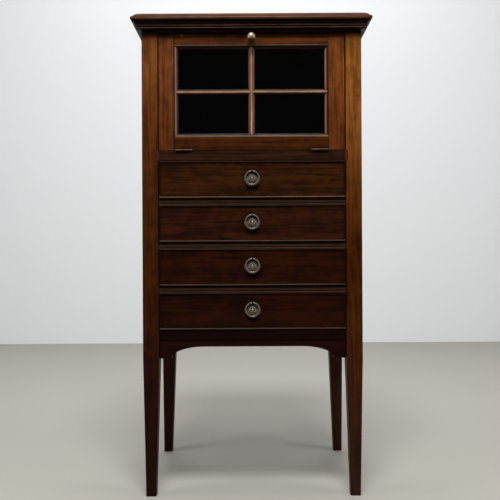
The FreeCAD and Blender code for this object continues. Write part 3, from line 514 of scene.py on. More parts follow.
    def surface(self, tree: Tree) -> dict[str, Any]:
        """Lays the polish over the wood, with every pattern sized in millimetres.

        Args:
            tree: the node tree that the patterns go in.

        Returns:
            The Principled shader's inputs.
        """
        at = add(tree, "ShaderNodeTexCoord").outputs["Object"]
        laid = self.lay(tree, at, self.APART)
        low, high = self.reach
        height = add(tree, "ShaderNodeMapRange", (
            add(tree, "ShaderNodeSeparateXYZ", (at,)).outputs["Z"], (self.foot + low) * MM,
            (self.foot + high) * MM, 0.0, 1.0))
        streaks = self.STREAKS.grow(tree, laid)
        pores = add(tree, "ShaderNodeMapRange", (self.PORES.grow(tree, laid), 0.60, 0.74, 0.0, 1.0),
                    interpolation_type=EASED)
        wood = self.figured(tree, laid, height, streaks, pores)
        wood = self.waxed_and_shaded(tree, height, self.marked(tree, at, wood))
        arris = add(tree, "ShaderNodeBevel", {"Radius": self.ARRIS * MM}, samples=4)
        relief = add(tree, "ShaderNodeMath", (pores, -0.7, streaks), operation="MULTIPLY_ADD")
        bumps = add(tree, "ShaderNodeBump", {
            "Height": relief, "Strength": 0.25, "Distance": 0.10 * MM, "Normal": arris})
        rough = add(tree, "ShaderNodeMapRange", (streaks, 0.3, 0.7, 0.50, 0.62), interpolation_type=EASED)
        return {"Base Color": wood, "Roughness": rough, "Normal": bumps, "Coat Normal": arris,
                "Coat Weight": self.coat, "Coat Roughness": self.gloss, "Specular IOR Level": 0.05}


class Timber(Enum):
    """A bare wood's colour between its year rings, and the colour of its rings and fibres."""

    PINE = ("6b4a2c", "4a3019")
    # Nearly black pine: staining and painted shade inside the closed compartment.
    STAINED_AND_SHADED_PINE = ("140b06", "0d0704")
    CEDAR = ("7a5433", "583a20")


@dataclass(frozen=True)
class PlainWood(Wood):
    """Cedar or pine inside the case, planed and left bare: dry, even and open in the grain.

    Attributes:
        timber: which wood it is.
        stain_and_shade: how dark staining and painted shade make the case-facing side, from 0 to 1.
        stain_and_shade_to: how far back that darkening reaches, as a place along y in mm.
    """

    timber: Timber
    stain_and_shade: float = 0.0
    stain_and_shade_to: float = 0.0

    APART = (211.0, 71.0, 53.0)
    RINGS = GrainPattern(420.0, 9.0, 3.0, 0.8, 0.5)
    FIBRES = GrainPattern(70.0, 1.3, 3.0, 0.0, 0.5)
    # The near black of the inner side: staining and painted shade inside the closed compartment.
    STAIN_AND_SHADE = "060302"
    # Half the depth over which the staining and painted shade end, in mm.
    STAIN_AND_SHADE_EDGE = 0.5

    def surface(self, tree: Tree) -> dict[str, Any]:
        """Mixes the wood's two colours where its rings and fibres are strong and weak.

        Args:
            tree: the node tree that the patterns go in.

        Returns:
            The Principled shader's inputs.
        """
        at = add(tree, "ShaderNodeTexCoord").outputs["Object"]
        laid = self.lay(tree, at, self.APART)
        rings, fibres = self.RINGS.grow(tree, laid), self.FIBRES.grow(tree, laid)
        both = add(tree, "ShaderNodeMath", (rings, fibres), operation="ADD")
        share = add(tree, "ShaderNodeMapRange", (both, 0.75, 1.25, 0.0, 1.0))
        light, dark = self.timber.value
        wood = add(tree, "ShaderNodeMix", {SHARE: share, UNDER: linear(dark), OVER: linear(light)},
                   data_type="RGBA")
        # Staining and painted shade darken the side that faces into the compartment.
        if self.stain_and_shade:
            depth = add(tree, "ShaderNodeSeparateXYZ", (at,)).outputs["Y"]
            stained_and_shaded = add(tree, "ShaderNodeMapRange", (
                depth, (self.stain_and_shade_to - self.STAIN_AND_SHADE_EDGE) * MM, (self.stain_and_shade_to + self.STAIN_AND_SHADE_EDGE) * MM,
                self.stain_and_shade, 0.0))
            wood = add(tree, "ShaderNodeMix", {SHARE: stained_and_shaded, UNDER: wood, OVER: linear(self.STAIN_AND_SHADE)},
                       data_type="RGBA")
        bumps = add(tree, "ShaderNodeBump", {"Height": fibres, "Strength": 0.4, "Distance": 0.15 * MM})
        return {"Base Color": wood, "Normal": bumps, "Roughness": 0.78, "Specular IOR Level": 0.25}


@dataclass(frozen=True)
class Brass(Finish):
    """Cast and turned brass. Polish wears off the high places last; tarnish and old wax settle round them.

    Attributes:
        metal: the colour of the bare metal.
        tarnish: the colour of the tarnish and wax.
        polish: the bare metal's roughness.
        tarnished: the share of the surface that is dull, from 0 to 1.
        pit: how far from a wall the wax settles, in mm.
        bare: the metallic share of the polished metal, below 1 where a thin patina scatters the light.
        centre: the height in mm of the axis that a turned plate has in the cabinet's middle.
        rings: radii in mm from that axis, each with how tarnished the plate is there, from 0 to 1; the dark
            dish
        is partly painted shade.
        shaded_below: the height in mm below which the metal is painted dull and dark, as painted shade.
        shade_soft: half the height in mm over which that painted shade fades in.
    """

    metal: str
    tarnish: str
    polish: float
    tarnished: float
    pit: float
    bare: float = 1.0
    centre: float = 0.0
    rings: tuple[tuple[float, float], ...] = ()
    shaded_below: float = 0.0
    shade_soft: float = 0.3

    # In mm: how wide the tarnish's patches and the casting's grit are, and how round an arris is.
    PATCH = 3.0
    GRIT = 0.9
    ARRIS = 0.3

    def worn(self, tree: Tree, in_mm: Node) -> Node:
        """Works out where the metal has tarnished: in patches, and in hollows where wax settles.

        Args:
            tree: the node tree that the patterns go in.
            in_mm: places on the piece in mm.

        Returns:
            How tarnished each place is, from 0 to 1.
        """
        patches = add(tree, "ShaderNodeTexNoise", {"Vector": in_mm, "Scale": 1 / self.PATCH, "Detail": 3.0})
        dull = add(tree, "ShaderNodeMapRange", (
            patches, 0.35, 0.65, self.tarnished - 0.3, self.tarnished + 0.3))
        sky = add(tree, "ShaderNodeAmbientOcclusion", {"Distance": self.pit * MM}, samples=8).outputs["AO"]
        dirt = add(tree, "ShaderNodeMapRange", (sky, 0.35, 0.85, 1.0, 0.0))
        return add(tree, "ShaderNodeMath", (dull, dirt), operation="MAXIMUM", use_clamp=True)

    def turned(self, tree: Tree, in_mm: Node) -> Node:
        """Works out how tarnished a turned plate is at each radius.

        The upper half of its dish is darker than the lower half: a painted shadow of the ring above it.

        Args:
            tree: the node tree that the patterns go in.
            in_mm: places on the plate in mm.

        Returns:
            How tarnished each place is, from 0 to 1.
        """
        reach = self.rings[-1][0]
        flat = add(tree, "ShaderNodeMapping", {
            "Vector": in_mm, "Location": (0, 0, -self.centre), "Scale": (1, 0, 1)})
        radius = add(tree, "ShaderNodeVectorMath", (flat,), operation="LENGTH")
        share = add(tree, "ShaderNodeMath", (radius, reach), operation="DIVIDE")
        ramp = add(tree, "ShaderNodeValToRGB", (share,), stops=tuple(
            (far / reach, (level, level, level, 1.0)) for far, level in self.rings))
        up = add(tree, "ShaderNodeSeparateXYZ", (flat,)).outputs["Z"]
        # Painted shadow of the ring: the dish darkens towards its upper half.
        ring_shadow = add(tree, "ShaderNodeMapRange", (up, -6.0, 5.0, 0.8, 1.0))
        return add(tree, "ShaderNodeMath", (ramp, ring_shadow), operation="MULTIPLY")

    def surface(self, tree: Tree) -> dict[str, Any]:
        """Lays tarnish over bright metal, darker and rougher than it and less of a mirror.

        Args:
            tree: the node tree that the patterns go in.

        Returns:
            The Principled shader's inputs.
        """
        at = add(tree, "ShaderNodeTexCoord").outputs["Object"]
        in_mm = add(tree, "ShaderNodeMapping", {"Vector": at, "Scale": TO_MM})
        share = self.worn(tree, in_mm)
        if self.rings:
            share = add(tree, "ShaderNodeMath", (share, self.turned(tree, in_mm)), operation="MAXIMUM")
        # Painted shade: below that height the metal is dull and dark.
        if self.shaded_below:
            height = add(tree, "ShaderNodeSeparateXYZ", (in_mm,)).outputs["Z"]
            painted_shade = add(tree, "ShaderNodeMapRange", (
                height, self.shaded_below - self.shade_soft, self.shaded_below + self.shade_soft, 1.0, 0.0))
            share = add(tree, "ShaderNodeMath", (share, painted_shade), operation="MAXIMUM")
        colour = add(tree, "ShaderNodeMix", {
            SHARE: share, UNDER: linear(self.metal), OVER: linear(self.tarnish)}, data_type="RGBA")
        rough = add(tree, "ShaderNodeMapRange", (share, 0.0, 1.0, self.polish, self.polish + 0.25))
        metallic = add(tree, "ShaderNodeMapRange", (share, 0.0, 1.0, self.bare, self.bare * 0.6))
        grit = add(tree, "ShaderNodeTexNoise", {"Vector": in_mm, "Scale": 1 / self.GRIT, "Detail": 2.0})
        arris = add(tree, "ShaderNodeBevel", {"Radius": self.ARRIS * MM}, samples=4)
        bumps = add(tree, "ShaderNodeBump", {
            "Height": grit, "Strength": 0.35, "Distance": 0.12 * MM, "Normal": arris})
        return {"Base Color": colour, "Roughness": rough, "Normal": bumps, "Metallic": metallic,
                "Specular IOR Level": 0.2}


@dataclass(frozen=True)
class SheetGlass(Finish):
    """Drawn sheet glass: clear, very smooth and slightly wavy, so that a reflection bends a little.

    Attributes:
        tint: the colour that the light takes in it.
    """

    tint: str

    # How far apart the waves left by the drawing are, in mm.
    WAVE = 45.0

    def surface(self, tree: Tree) -> dict[str, Any]:
        """Bends the surface in long low waves.

        Args:
            tree: the node tree that the pattern goes in.

        Returns:
            The Principled shader's inputs.
        """
        at = add(tree, "ShaderNodeTexCoord").outputs["Object"]
        in_mm = add(tree, "ShaderNodeMapping", {"Vector": at, "Scale": TO_MM})
        waves = add(tree, "ShaderNodeTexNoise", {"Vector": in_mm, "Scale": 1 / self.WAVE, "Detail": 1.0})
        bumps = add(tree, "ShaderNodeBump", {"Height": waves, "Strength": 0.25, "Distance": 0.4 * MM})
        return {"Base Color": linear(self.tint), "Roughness": 0.01, "IOR": 1.52, "Transmission Weight": 1.0,
                "Normal": bumps}


@dataclass(frozen=True)
class StagePaint(Finish):
    """Plain matt paint for the floor and the backdrop: one even colour with almost no shine.

    Attributes:
        shade: its colour.
    """

    shade: str

    def surface(self, tree: Tree) -> dict[str, Any]:
        """The paint's even colour, which needs no pattern in the tree."""
        return {"Base Color": linear(self.shade), "Roughness": 0.7, "Specular IOR Level": 0.1}


class Metalwork(Enum):
    """The brass finishes of the cabinet's fittings.

    The knob's lower part, and the hinges below the top of their knuckles, are painted dull and dark
    as painted shade.
    """

    BRIGHT = Brass("polished brass", "c8baa0", "40331f", 0.38, 0.35, 3.0, shaded_below=1015.0, shade_soft=2.5)
    AGED = Brass("aged brass", "988b80", "0f0c09", 0.36, 0.30, 1.5)
    HINGE = Brass("rubbed brass", "7a6a58", "150d08", 0.40, 0.2, 1.0, shaded_below=771.4)


# ---- sub-assemblies


@dataclass
class Case:
    """The posts, rails, panels and inner boards.

    Attributes:
        seed: picks the stretch of figure that the first post is cut from.
        dividers: how many rails there are between the drawers.
        divider: how thick each of them is, in mm.
        lining: how dark staining and painted shade leave the compartment's back, from 0 to 1.
    """

    seed: float = 1.0
    dividers: int = 3
    divider: float = 14.0
    lining: float = 0.93

    # How far past the first post's seed each kind of board's seeds start.
    SEEDS = {"panel": 5, "side": 8, "front": 12, "divider": 20, "floor": 9}
    # Each post lightens upwards, partly bleaching and partly painted light falling from above; on the front
    # posts the last tone, under the cornice, is a painted shadow.
    POSTS = {
        "post_front_left": ((100, "1e0500"), (250, "200400"), (420, "381800"), (560, "391a03"),
                            (700, "421f06"), (840, "552b0c"), (960, "6c3d18"), (1022, "5c3212"),
                            (1030, "120804")),
        "post_front_right": ((100, "31160a"), (250, "3b1902"), (420, "3f1c01"), (560, "3b1800"),
                             (700, "552b09"), (830, "744219"), (960, "794818"), (1022, "6a3c16"),
                             (1030, "120804")),
        "post_back_left": ((100, "270801"), (500, "2f170a"), (960, "4a2a14")),
        "post_back_right": ((100, "35190b"), (500, "2f170a"), (960, "4a2a14")),
    }
    # The side panels lighten upwards as well, partly painted light falling from above.
    PANELS = {name: ((34.6, "2c160a"), (334.6, "3d2010"), (614.6, "512d16"))
              for name in ("side_panel_left", "side_panel_right")}
    # Painted light and shade, from the cornice's lower edge up: the lip in painted shade, a painted highlight
    # on the bead, its quirk in painted shadow, a painted highlight on the fillet and the cove in painted
    # shadow.
    CORNICE_LIGHT_AND_SHADE = ((0.2, "0c0504"), (1.4, "0c0504"), (2.4, "5c4033"), (4.6, "5c4033"), (5.5, "1c0d09"),
               (6.2, "1c0d09"), (6.8, "6a4234"), (8.6, "6a4234"), (9.8, "140604"), (11.0, "070100"),
               (18.0, "050000"))
    # One tone for each rail; the lower rail and the apron are darker, partly painted shade from light falling
    # from above.
    RAILS = {
        "top_rail": ((0, "331a0c"),), "mid_rail": ((0, "2b1509"),), "lower_rail": ((0, "120100"),),
        "front_apron": ((0, "1c0301"),), "top_board": ((0, "4a2710"),), "cornice_front": CORNICE_LIGHT_AND_SHADE,
    }
    SIDES = {"side_top_rails": ((0, "452612"),), "side_aprons": ((0, "241008"),), "cornice_returns": CORNICE_LIGHT_AND_SHADE}
    # Heights from a divider's upper edge: two lighter lines, the lower a painted highlight along its arris,
    # and a nearly black painted shadow under the bead of the drawer above.
    DIVIDER_LIGHT_AND_SHADE = ((-14.2, "5a3e31"), (-12.9, "5a3e31"), (-12.1, "1e100a"), (-9.8, "1e100a"), (-8.6, "341f15"),
               (-5.6, "341f15"), (-4.4, "070301"), (4.0, "070301"))
    # Painted shadow in the seam between the front posts and the door.
    SEAM_SHADOW = Band(206.0, 208.8, 1.0, "080200", 0.85)
    LAP = Band(209.0, 250.0, 4.0, "4a260e", 0.95)

    def dress_posts(self) -> None:
        """Gives each post its own cut of wood, dark at the foot, lighter upwards from bleaching and painted
        light.
        """
        for number, (name, tones) in enumerate(self.POSTS.items()):
            PolishedMahogany.dress(name, Grain.UPRIGHT, self.seed + number, tones, figure=9.0, coat=0.1,
                                   bands=(self.SEAM_SHADOW,) if "front" in name else ())

    def dress_sides(self) -> None:
        """Gives the side panels, top rails, aprons and cornice returns their wood."""
        for number, (name, tones) in enumerate(self.PANELS.items()):
            PolishedMahogany.dress(name, Grain.UPRIGHT, self.seed + self.SEEDS["panel"] + number, tones,
                                   figure=28.0)
        for number, (name, tones) in enumerate(self.SIDES.items()):
            PolishedMahogany.dress(name, Grain.DEEP, self.seed + self.SEEDS["side"] + number, tones,
                                   figure=9.0)

    def dress_front(self) -> None:
        """Gives the rails, dividers, apron, cornice and top board their wood."""
        for number, (name, tones) in enumerate(self.RAILS.items()):
            PolishedMahogany.dress(name, Grain.ACROSS, self.seed + self.SEEDS["front"] + number, tones,
                                   figure=8.0, coat=0.08, gloss=0.4 if name == "front_apron" else 0.16,
                                   bands=(self.LAP,) if name == "mid_rail" else ())
        pitch = lowest("drawer_1_front") - lowest("drawer_2_front")
        tones = tuple((self.divider + number * pitch + step, shade)
                      for number in range(self.dividers) for step, shade in self.DIVIDER_LIGHT_AND_SHADE)
        PolishedMahogany.dress("drawer_dividers", Grain.ACROSS, self.seed + self.SEEDS["divider"], tones,
                               figure=8.0, contrast=0.4, coat=0.08, rub_and_shade=0.3)

    def dress_inside(self) -> None:
        """Gives the inner boards their pine, darkened by staining and painted shade where it lines the
        compartment.
        """
        boards = {"back_panel": Grain.UPRIGHT, "back_rails": Grain.ACROSS, "drawer_runners": Grain.DEEP,
                  "drawer_stops": Grain.ACROSS}
        for number, (name, grain) in enumerate(boards.items()):
            low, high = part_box(name)
            PlainWood(f"pine {name}", grain, self.seed + number, Timber.PINE,
                      stain_and_shade=self.lining if name.startswith("back") else 0.0,
                      stain_and_shade_to=(low[1] + high[1]) / (2 * MM)).paint(name)
        floor = PlainWood("stained and shaded pine floor", Grain.ACROSS, self.seed + self.SEEDS["floor"],
                          Timber.STAINED_AND_SHADED_PINE)
        floor.paint("compartment_floor")

    def dress(self) -> None:
        """Dresses every fixed board."""
        self.dress_posts()
        self.dress_sides()
        self.dress_front()
        self.dress_inside()
        LOG.info("case: posts, rails, panels, cornice and inner boards dressed")


@dataclass
class SlottedScrews:
    """Countersunk brass screws of one size, driven flush with the face of a fitting.

    Attributes:
        name: the piece's name.
        body: the body that they ride on.
        places: where each head's middle is on the fitting's face, in mm.
        outward: which way the heads face.
        radius: a head's radius, in mm.
        dome: how far its middle stands over its rim, in mm.
        sunk: how far it goes into the fitting, in mm.
        slot_width: how wide its slot is, in mm.
        slot_depth: how deep its slot is, in mm.
        columns: how many points each row of a head has.
    """

    name: str
    body: str
    places: tuple[tuple[float, float, float], ...]
    outward: tuple[float, float, float]
    radius: float = 2.6
    dome: float = 0.25
    sunk: float = 0.8
    slot_width: float = 0.7
    slot_depth: float = 0.5
    columns: int = 9

    # The rows on each side of the slot, and how near the rim the last one is.
    ROWS = 6
    RIM = 0.995
    # In radians: the first slot's turn, and how much further each next one is turned.
    FIRST_TURN = 0.6
    NEXT_TURN = 2.4

    def head(self) -> tuple[np.ndarray, np.ndarray]:
        """Works out one screw head, standing up from the origin with its slot along its first axis.

        The head is cut into rows that run with the slot. A row at distance v from the middle reaches
        sqrt(radius squared - v squared) to either side. Its upper edge stands at the dome's height,
        dome * (1 - distance from the middle squared / radius squared), less the slot's depth for the two
        middle rows, and its lower edge lies flat at the sunk depth. Each row's upper and lower edges make a
        loop, the loops are joined into a tube, and the tube's ends are closed by strips.

        Returns:
            Points in mm, and faces of four corners.
        """
        slot = self.slot_width / 2
        side = np.linspace(slot, self.radius * self.RIM, self.ROWS)
        across = np.concatenate([-side[::-1], [-slot, slot], side])
        cut = np.zeros(len(across))
        cut[self.ROWS:self.ROWS + 2] = self.slot_depth
        half = np.sqrt(self.radius ** 2 - across ** 2)
        along = half[:, None] * np.linspace(-1, 1, self.columns)
        away = (along ** 2 + across[:, None] ** 2) / self.radius ** 2
        upper = self.dome * (1 - away) - cut[:, None]
        level = np.broadcast_to(across[:, None], along.shape)
        top = np.stack([along, level, upper], -1)
        under = np.stack([along, level, np.full(along.shape, -self.sunk)], -1)[:, ::-1]
        loops = np.concatenate([top, under], 1)
        rows, size = loops.shape[:2]
        start = np.arange(rows - 1)[:, None] * size
        here, beside = start + np.arange(size), start + (np.arange(size) + 1) % size
        walls = np.stack([here, beside, beside + size, here + size], -1).reshape(-1, 4)
        strip = np.arange(self.columns - 1)
        first = np.stack([strip, size - 1 - strip, size - 2 - strip, strip + 1], -1)
        last = first[:, ::-1] + (rows - 1) * size
        return loops.reshape(-1, 3), np.concatenate([walls, first, last])

    def build(self, metal: bpy.types.Material) -> None:
        """Sets a head at every place, each with its slot turned another way, as one piece.

        A head's point (u, v, w) goes to place + (u cos turn - v sin turn) * first side axis +
        (u sin turn + v cos turn) * second side axis + w * outward.

        Args:
            metal: the screws' finish.
        """
        points, faces = self.head()
        out = np.array(self.outward)
        first = np.array([1.0, 0.0, 0.0])
        second = np.cross(out, first)
        turn = np.arange(len(self.places)) * self.NEXT_TURN + self.FIRST_TURN
        spin = np.array([[np.cos(turn), np.sin(turn)], [-np.sin(turn), np.cos(turn)]])
        flat = np.einsum("pi,ijn->npj", points[:, :2], spin)
        heads = (np.array(self.places)[:, None] + flat[..., :1] * first + flat[..., 1:] * second
                 + points[None, :, 2:] * out)
        numbers = faces[None] + np.arange(len(self.places))[:, None, None] * len(points)
        piece = place_mesh(self.name, heads.reshape(-1, 3) * MM, numbers.reshape(-1, 4), metal)
        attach(piece, self.body)
        LOG.info("%s: %d heads", self.name, len(self.places))


@dataclass
class GlazedDoor:
    """The fall door with its frame, bars, panes and fittings; its sizes are in mm.

    Attributes:
        seed: picks the stretch of figure that the left stile is cut from.
        hinge_length: how long each butt hinge is.
        screw_step: how far apart the screws in a leaf are.
        screw_edge: how far they are from the leaf's back edge.
        stay_foot: how thick a stay's foot is.
        stay_screw_in: how far a foot's screws are from the stay's outer side.
        stay_screw_down: how far the middle between them is below the stay's top.
        stay_screw_step: how far each is from that middle.
    """

    seed: float = 31.0
    hinge_length: float = 38.0
    screw_step: float = 13.0
    screw_edge: float = 5.5
    stay_foot: float = 2.0
    stay_screw_in: float = 11.1
    stay_screw_down: float = 14.0
    stay_screw_step: float = 8.0

    # Painted shadow in the seam between the door's stiles and the posts.
    SEAM_SHADOW = Band(206.3, 208.0, 0.8, "080200", 0.85)
    # Painted light and shade across the moulding on each stile: a dark quirk, a painted highlight along the
    # moulding and painted shade on its inner slope.
    LEFT_TRIM_LIGHT_AND_SHADE = (Band(171.0, 173.0, 0.8, "1a0b05", 0.75), Band(167.6, 169.8, 0.8, "8a7064", 0.75),
                 Band(158.0, 166.4, 0.8, "28140c", 0.85))
    RIGHT_TRIM_LIGHT_AND_SHADE = (Band(167.6, 171.0, 0.9, "220f07", 0.8), Band(162.8, 165.8, 0.8, "8a6450", 0.8),
                  Band(158.0, 161.6, 0.8, "28140c", 0.8))
    # Painted shade on the upright bar's slopes, either side of its painted highlight.
    BAR_TRIM_SHADE = (Band(2.6, 20.0, 1.6, "4e281a", 0.85),)
    # Each stile lightens upwards, partly painted light from above, and its last tone is the cornice's painted
    # shadow; the upright bar's tone is a painted highlight.
    UPRIGHTS = {
        "door_stile_left": (((9.5, "4e260d"), (59.5, "562a0f"), (189.5, "693719"), (247.5, "5c3018"),
                             (257.5, "140804")), (SEAM_SHADOW,) + LEFT_TRIM_LIGHT_AND_SHADE),
        "door_stile_right": (((9.5, "52280c"), (59.5, "5a2c0e"), (189.5, "6e3a16"), (247.5, "603014"),
                              (257.5, "140804")), (SEAM_SHADOW,) + RIGHT_TRIM_LIGHT_AND_SHADE),
        "glazing_bar_upright": (((0, "ac8268"),), BAR_TRIM_SHADE),
    }
    # How far past the left stile's seed those of the level members start.
    LEVEL_SEED = 4
    # Painted light and shade on each rail and bar: a painted highlight along the edge of the moulding round
    # the panes, painted shade in its quirks and on faces that look down, and on the top rail the cornice's
    # shadow painted along its top.
    LEVELS = {
        "door_top_rail": ((-1.0, "0e0604"), (0.5, "1c1512"), (3.2, "1c1512"), (5.0, "0e0403"),
                          (6.6, "0e0403"), (7.6, "574038"), (9.6, "574038"), (10.6, "2c150b"),
                          (12.4, "4a240b"), (26.0, "522b0f"), (34.0, "100603")),
        "door_bottom_rail": ((-0.5, "2b1103"), (7.5, "3b1903"), (28.1, "3b1903"), (29.3, "48301f"),
                             (31.1, "705a4b"), (33.1, "5a4e44"), (34.5, "0a0605")),
        "glazing_bar_cross": ((0.5, "140804"), (3.0, "2a1008"), (4.5, "5c3622"), (6.0, "96725e"),
                              (8.1, "96725e"), (9.3, "442a1d"), (10.7, "0c0604"), (12.5, "0c0604")),
        "glazing_beads": ((0, "2c160b"),),
    }
    # A filled plug hole near the top rail's left end, and a smear of wax beside the knob.
    MARKS = (Spot(-154.5, 31.0, 3.0, 3.5, "7a6a60", 0.6), Spot(14.5, 24.0, 9.0, 1.8, "6e5244", 0.5))

    def drive_screws(self, metal: bpy.types.Material) -> None:
        """Drives three screws through each hinge leaf and two through each stay's foot.

        Args:
            metal: the screws' finish.
        """
        end, back, _ = (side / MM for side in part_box("hinge_fixed_leaves")[1])
        middle = end - self.hinge_length / 2
        steps = (-self.screw_step, 0.0, self.screw_step)
        spread = [side * (middle + step) for side in (-1, 1) for step in steps]
        faces = (("hinge_fixed_screws", "carcass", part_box("mid_rail")[1][2] / MM, 1.0),
                 ("hinge_door_screws", "door", lowest("door_bottom_rail"), -1.0))
        for name, body, z, up in faces:
            places = tuple((x, back - self.screw_edge, z) for x in spread)
            SlottedScrews(name, body, places, (0.0, 0.0, up)).build(metal)
        end, _, top = (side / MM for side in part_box("door_stays")[1])
        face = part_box("door_top_rail")[1][1] / MM + self.stay_foot
        feet = tuple((side * (end - self.stay_screw_in), face, top - self.stay_screw_down + step)
                     for side in (-1, 1) for step in (-self.stay_screw_step, self.stay_screw_step))
        SlottedScrews("stay_screws", "door", feet, (0.0, 1.0, 0.0), radius=2.3).build(metal)

    def dress(self) -> None:
        """Gives the door's members their wood, glass and brass."""
        for number, (name, (tones, bands)) in enumerate(self.UPRIGHTS.items()):
            PolishedMahogany.dress(name, Grain.UPRIGHT, self.seed + number, tones, figure=7.0, rub_and_shade=0.3,
                                   bands=bands)
        for number, (name, tones) in enumerate(self.LEVELS.items()):
            PolishedMahogany.dress(name, Grain.ACROSS, self.seed + self.LEVEL_SEED + number, tones,
                                   figure=7.0, coat=0.05, rub_and_shade=0.3,
                                   spots=self.MARKS if name == "door_top_rail" else ())
        SheetGlass("drawn sheet glass", "e2e9e8").paint("glass_panes")
        rubbed_and_painted_light = Metalwork.HINGE.value.paint("hinge_fixed_leaves", "hinge_door_leaves", "hinge_pins",
                                             "door_stays", "stay_stop_pegs", "catch_tongue")
        self.drive_screws(rubbed_and_painted_light)
        Metalwork.BRIGHT.value.paint("door_knob")
        LOG.info("door: frame, bars, panes, hinges, stays and turn catch dressed")


@dataclass
class Drawer:
    """One cock-beaded drawer with its ring handle.

    Attributes:
        number: 1 for the uppermost drawer, to 4 for the lowest.
        shade: its front's mean colour.
        rubbed_and_painted_light: the colour of the painted highlight along its bead's lower run.
    """

    number: int
    shade: str
    rubbed_and_painted_light: str

    # The seed that each kind of board counts on from.
    SEEDS = {"front": 50.0, "cock_bead": 60.0, "box": 70.0, "bottom": 80.0}
    # Painted shadow under the handle and painted shade round it, at heights from the front's lower edge.
    HANDLE_SHADOW = (Spot(1.0, 25.0, 22.0, 17.0, "040100", 0.9), Spot(0.0, 41.0, 27.0, 27.0, "0c0402", 0.6))
    # Tarnish by radius: a bright nipple, the boss's two steps, the dark dish round it, partly tarnish and
    # partly painted shade, and the worn rim.
    TURNING = ((0.0, 0.0), (2.0, 0.0), (2.9, 1.0), (5.0, 1.0), (5.8, 0.2), (6.8, 0.3), (7.6, 1.0), (8.8, 1.0),
               (9.5, 0.6), (10.2, 0.7), (11.0, 1.0), (20.0, 1.0))

    def dress_bead(self) -> None:
        """Gives the cock bead its wood, with a painted highlight below and painted shade on its sides and
        top.
        """
        name = f"drawer_{self.number}_cock_bead"
        low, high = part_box(name)
        tall = (high[2] - low[2]) / MM
        tones = ((-1.0, self.rubbed_and_painted_light), (3.5, self.rubbed_and_painted_light), (5.0, "1c0c06"), (tall - 4.0, "1c0c06"),
                 (tall - 2.6, "2a160e"))
        PolishedMahogany.dress(name, Grain.ACROSS, self.SEEDS["cock_bead"] + self.number, tones, figure=8.0,
                               contrast=0.4, gloss=0.45, coat=0.0, rub_and_shade=0.0)

    def dress_handle(self) -> None:
        """Gives the ring and its turned plate their aged brass."""
        aged = Metalwork.AGED.value
        aged.paint(f"drawer_{self.number}_ring")
        plate = f"drawer_{self.number}_plate"
        low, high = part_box(plate)
        replace(aged, name=f"aged brass plate {self.number}", metal="d2c4ac", bare=0.6,
                centre=(low[2] + high[2]) / (2 * MM), rings=self.TURNING).paint(plate)

    def dress(self) -> None:
        """Gives the drawer its front, bead, bare inner boards and aged brass handle."""
        n = self.number
        PolishedMahogany.dress(f"drawer_{n}_front", Grain.ACROSS, self.SEEDS["front"] + n,
                               ((0, self.shade),), figure=10.0, contrast=1.5, gloss=0.12, coat=0.15, rub_and_shade=0.3,
                               spots=self.HANDLE_SHADOW)
        self.dress_bead()
        for board, grain in (("box", Grain.DEEP), ("bottom", Grain.ACROSS)):
            cedar = PlainWood(f"cedar drawer {board} {n}", grain, self.SEEDS[board] + n, Timber.CEDAR)
            cedar.paint(f"drawer_{n}_{board}")
        self.dress_handle()
        LOG.info("drawer %d: front, cock bead, box and ring handle dressed", n)


# ---- stage, lamps and camera


@dataclass
class SoftLamp:
    """One soft area lamp.

    Attributes:
        name: the lamp's name.
        place: where it hangs, in metres.
        aim: the point that it faces.
        size: how wide and how tall it is, in metres.
        power: its power in watts.
    """

    name: str
    place: tuple[float, float, float]
    aim: tuple[float, float, float]
    size: tuple[float, float]
    power: float

    def hang(self) -> None:
        """Hangs the lamp at its place, facing what it is aimed at."""
        data = bpy.data.lights.new(self.name, "AREA")
        data.shape = "RECTANGLE"
        data.size, data.size_y = self.size
        data.energy = self.power
        lamp = bpy.data.objects.new(self.name, data)
        x, y, z = np.subtract(self.aim, self.place)
        lamp.location = self.place
        lamp.rotation_euler = (math.atan2(math.hypot(x, y), -z), 0.0, math.atan2(y, x) - math.pi / 2)
        bpy.context.scene.collection.objects.link(lamp)


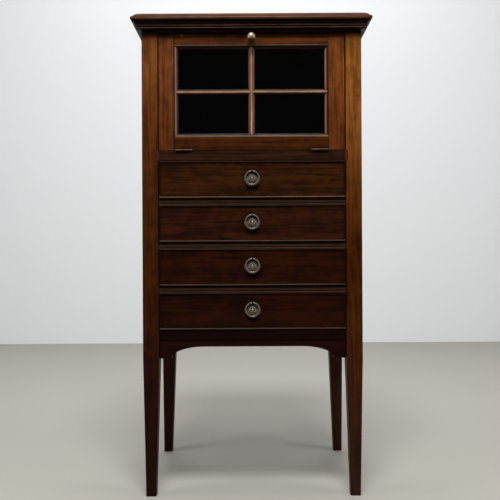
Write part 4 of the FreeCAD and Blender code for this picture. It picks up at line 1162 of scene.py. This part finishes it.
@dataclass
class Studio:
    """The floor, the backdrop, the surroundings and the lamps.

    Attributes:
        back: how far behind the cabinet's middle the backdrop stands, in metres.
        side: how far to each side of it the backdrop stands.
        front: how far in front the floor ends, as a place along y.
        height: how tall the backdrop is.
        surround: the strength of the white surroundings.
    """

    back: float = 2.36
    side: float = 4.2
    front: float = -9.0
    height: float = 6.0
    surround: float = 0.018

    LAMPS = (
        SoftLamp("lamp_above", (0.0, -1.5, 3.3), (0.0, -0.1, 0.7), (1.1, 0.7), 110.0),
        SoftLamp("lamp_left", (-2.6, -1.1, 1.5), (0.0, 0.0, 0.7), (0.7, 2.0), 17.0),
        SoftLamp("lamp_right", (2.6, -1.1, 1.5), (0.0, 0.0, 0.7), (0.7, 2.0), 20.0),
        SoftLamp("lamp_behind", (0.0, 2.1, 2.9), (0.0, 0.1, 0.6), (2.4, 1.0), 42.0),
        SoftLamp("lamp_backdrop", (0.0, -0.15, 2.4), (0.0, 2.36, 0.5), (3.6, 0.6), 23.0),
    )

    def lay_stage(self) -> None:
        """Lays the floor, and stands the backdrop along its back and sides.

        The backdrop's foot runs from the front left corner round the back to the front right one, and each of
        its panels is the straight strip between that line and the same line at the backdrop's height.
        """
        foot = np.array([[-self.side, self.front, 0.0], [-self.side, self.back, 0.0],
                         [self.side, self.back, 0.0], [self.side, self.front, 0.0]])
        panels = np.array([[0, 1, 5, 4], [1, 2, 6, 5], [2, 3, 7, 6]])
        floor = place_mesh("studio_floor", foot, np.array([[0, 3, 2, 1]]),
                           StagePaint("plain matt floor", "a19e97").material())
        backdrop = place_mesh("studio_backdrop", np.concatenate([foot, foot + (0, 0, self.height)]), panels,
                              StagePaint("plain matt backdrop", "e4e6e8").material())

    def build(self) -> None:
        """Lays the stage, sets the surroundings and hangs the lamps."""
        self.lay_stage()
        world = bpy.data.worlds.new("studio")
        bpy.context.scene.world = world
        world.use_nodes = True
        tree = world.node_tree
        tree.nodes.clear()
        plain = add(tree, "ShaderNodeBackground", {"Color": (1, 1, 1, 1), "Strength": self.surround})
        add(tree, "ShaderNodeOutputWorld", (plain,))
        for lamp in self.LAMPS:
            lamp.hang()
        LOG.info("studio: floor, backdrop, surroundings and %d lamps set", len(self.LAMPS))


@dataclass
class Viewpoint:
    """The camera: level, in front of the cabinet, with the small roll it was held at.

    Attributes:
        place: where it stands, in metres.
        focal: its lens, in mm.
        sensor: its sensor's width, in mm.
        roll_deg: how far it leans, in degrees.
    """

    place: tuple[float, float, float] = (-0.0053, -1.71, 0.5484)
    focal: float = 49.63
    sensor: float = 36.0
    roll_deg: float = 0.3

    def build(self) -> None:
        """Sets the scene's camera."""
        data = bpy.data.cameras.new("camera")
        data.sensor_width = self.sensor
        data.lens = self.focal
        camera = bpy.data.objects.new("camera", data)
        camera.location = self.place
        camera.rotation_euler = (math.pi / 2, math.radians(self.roll_deg), 0.0)
        bpy.context.scene.collection.objects.link(camera)
        bpy.context.scene.camera = camera
        LOG.info("camera: %.1f mm lens at %s", self.focal, self.place)


def main() -> None:
    """Builds and dresses the cabinet, its stage and its camera."""
    logging.basicConfig(level=logging.INFO, format="%(name)s: %(message)s")
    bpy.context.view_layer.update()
    bpy.context.scene.view_settings.view_transform = "Standard"
    Case().dress()
    GlazedDoor().dress()
    # The fronts darken from the top drawer down, partly painted shade from light falling from above; the
    # second colour is the painted highlight on each bead's lower run.
    for drawer in (Drawer(1, "2f1503", "5e4639"), Drawer(2, "2c1105", "4a372e"),
                   Drawer(3, "250b01", "4a372e"), Drawer(4, "210800", "47342c")):
        drawer.dress()
    Studio().build()
    Viewpoint().build()


if __name__ == "__main__":
    main()
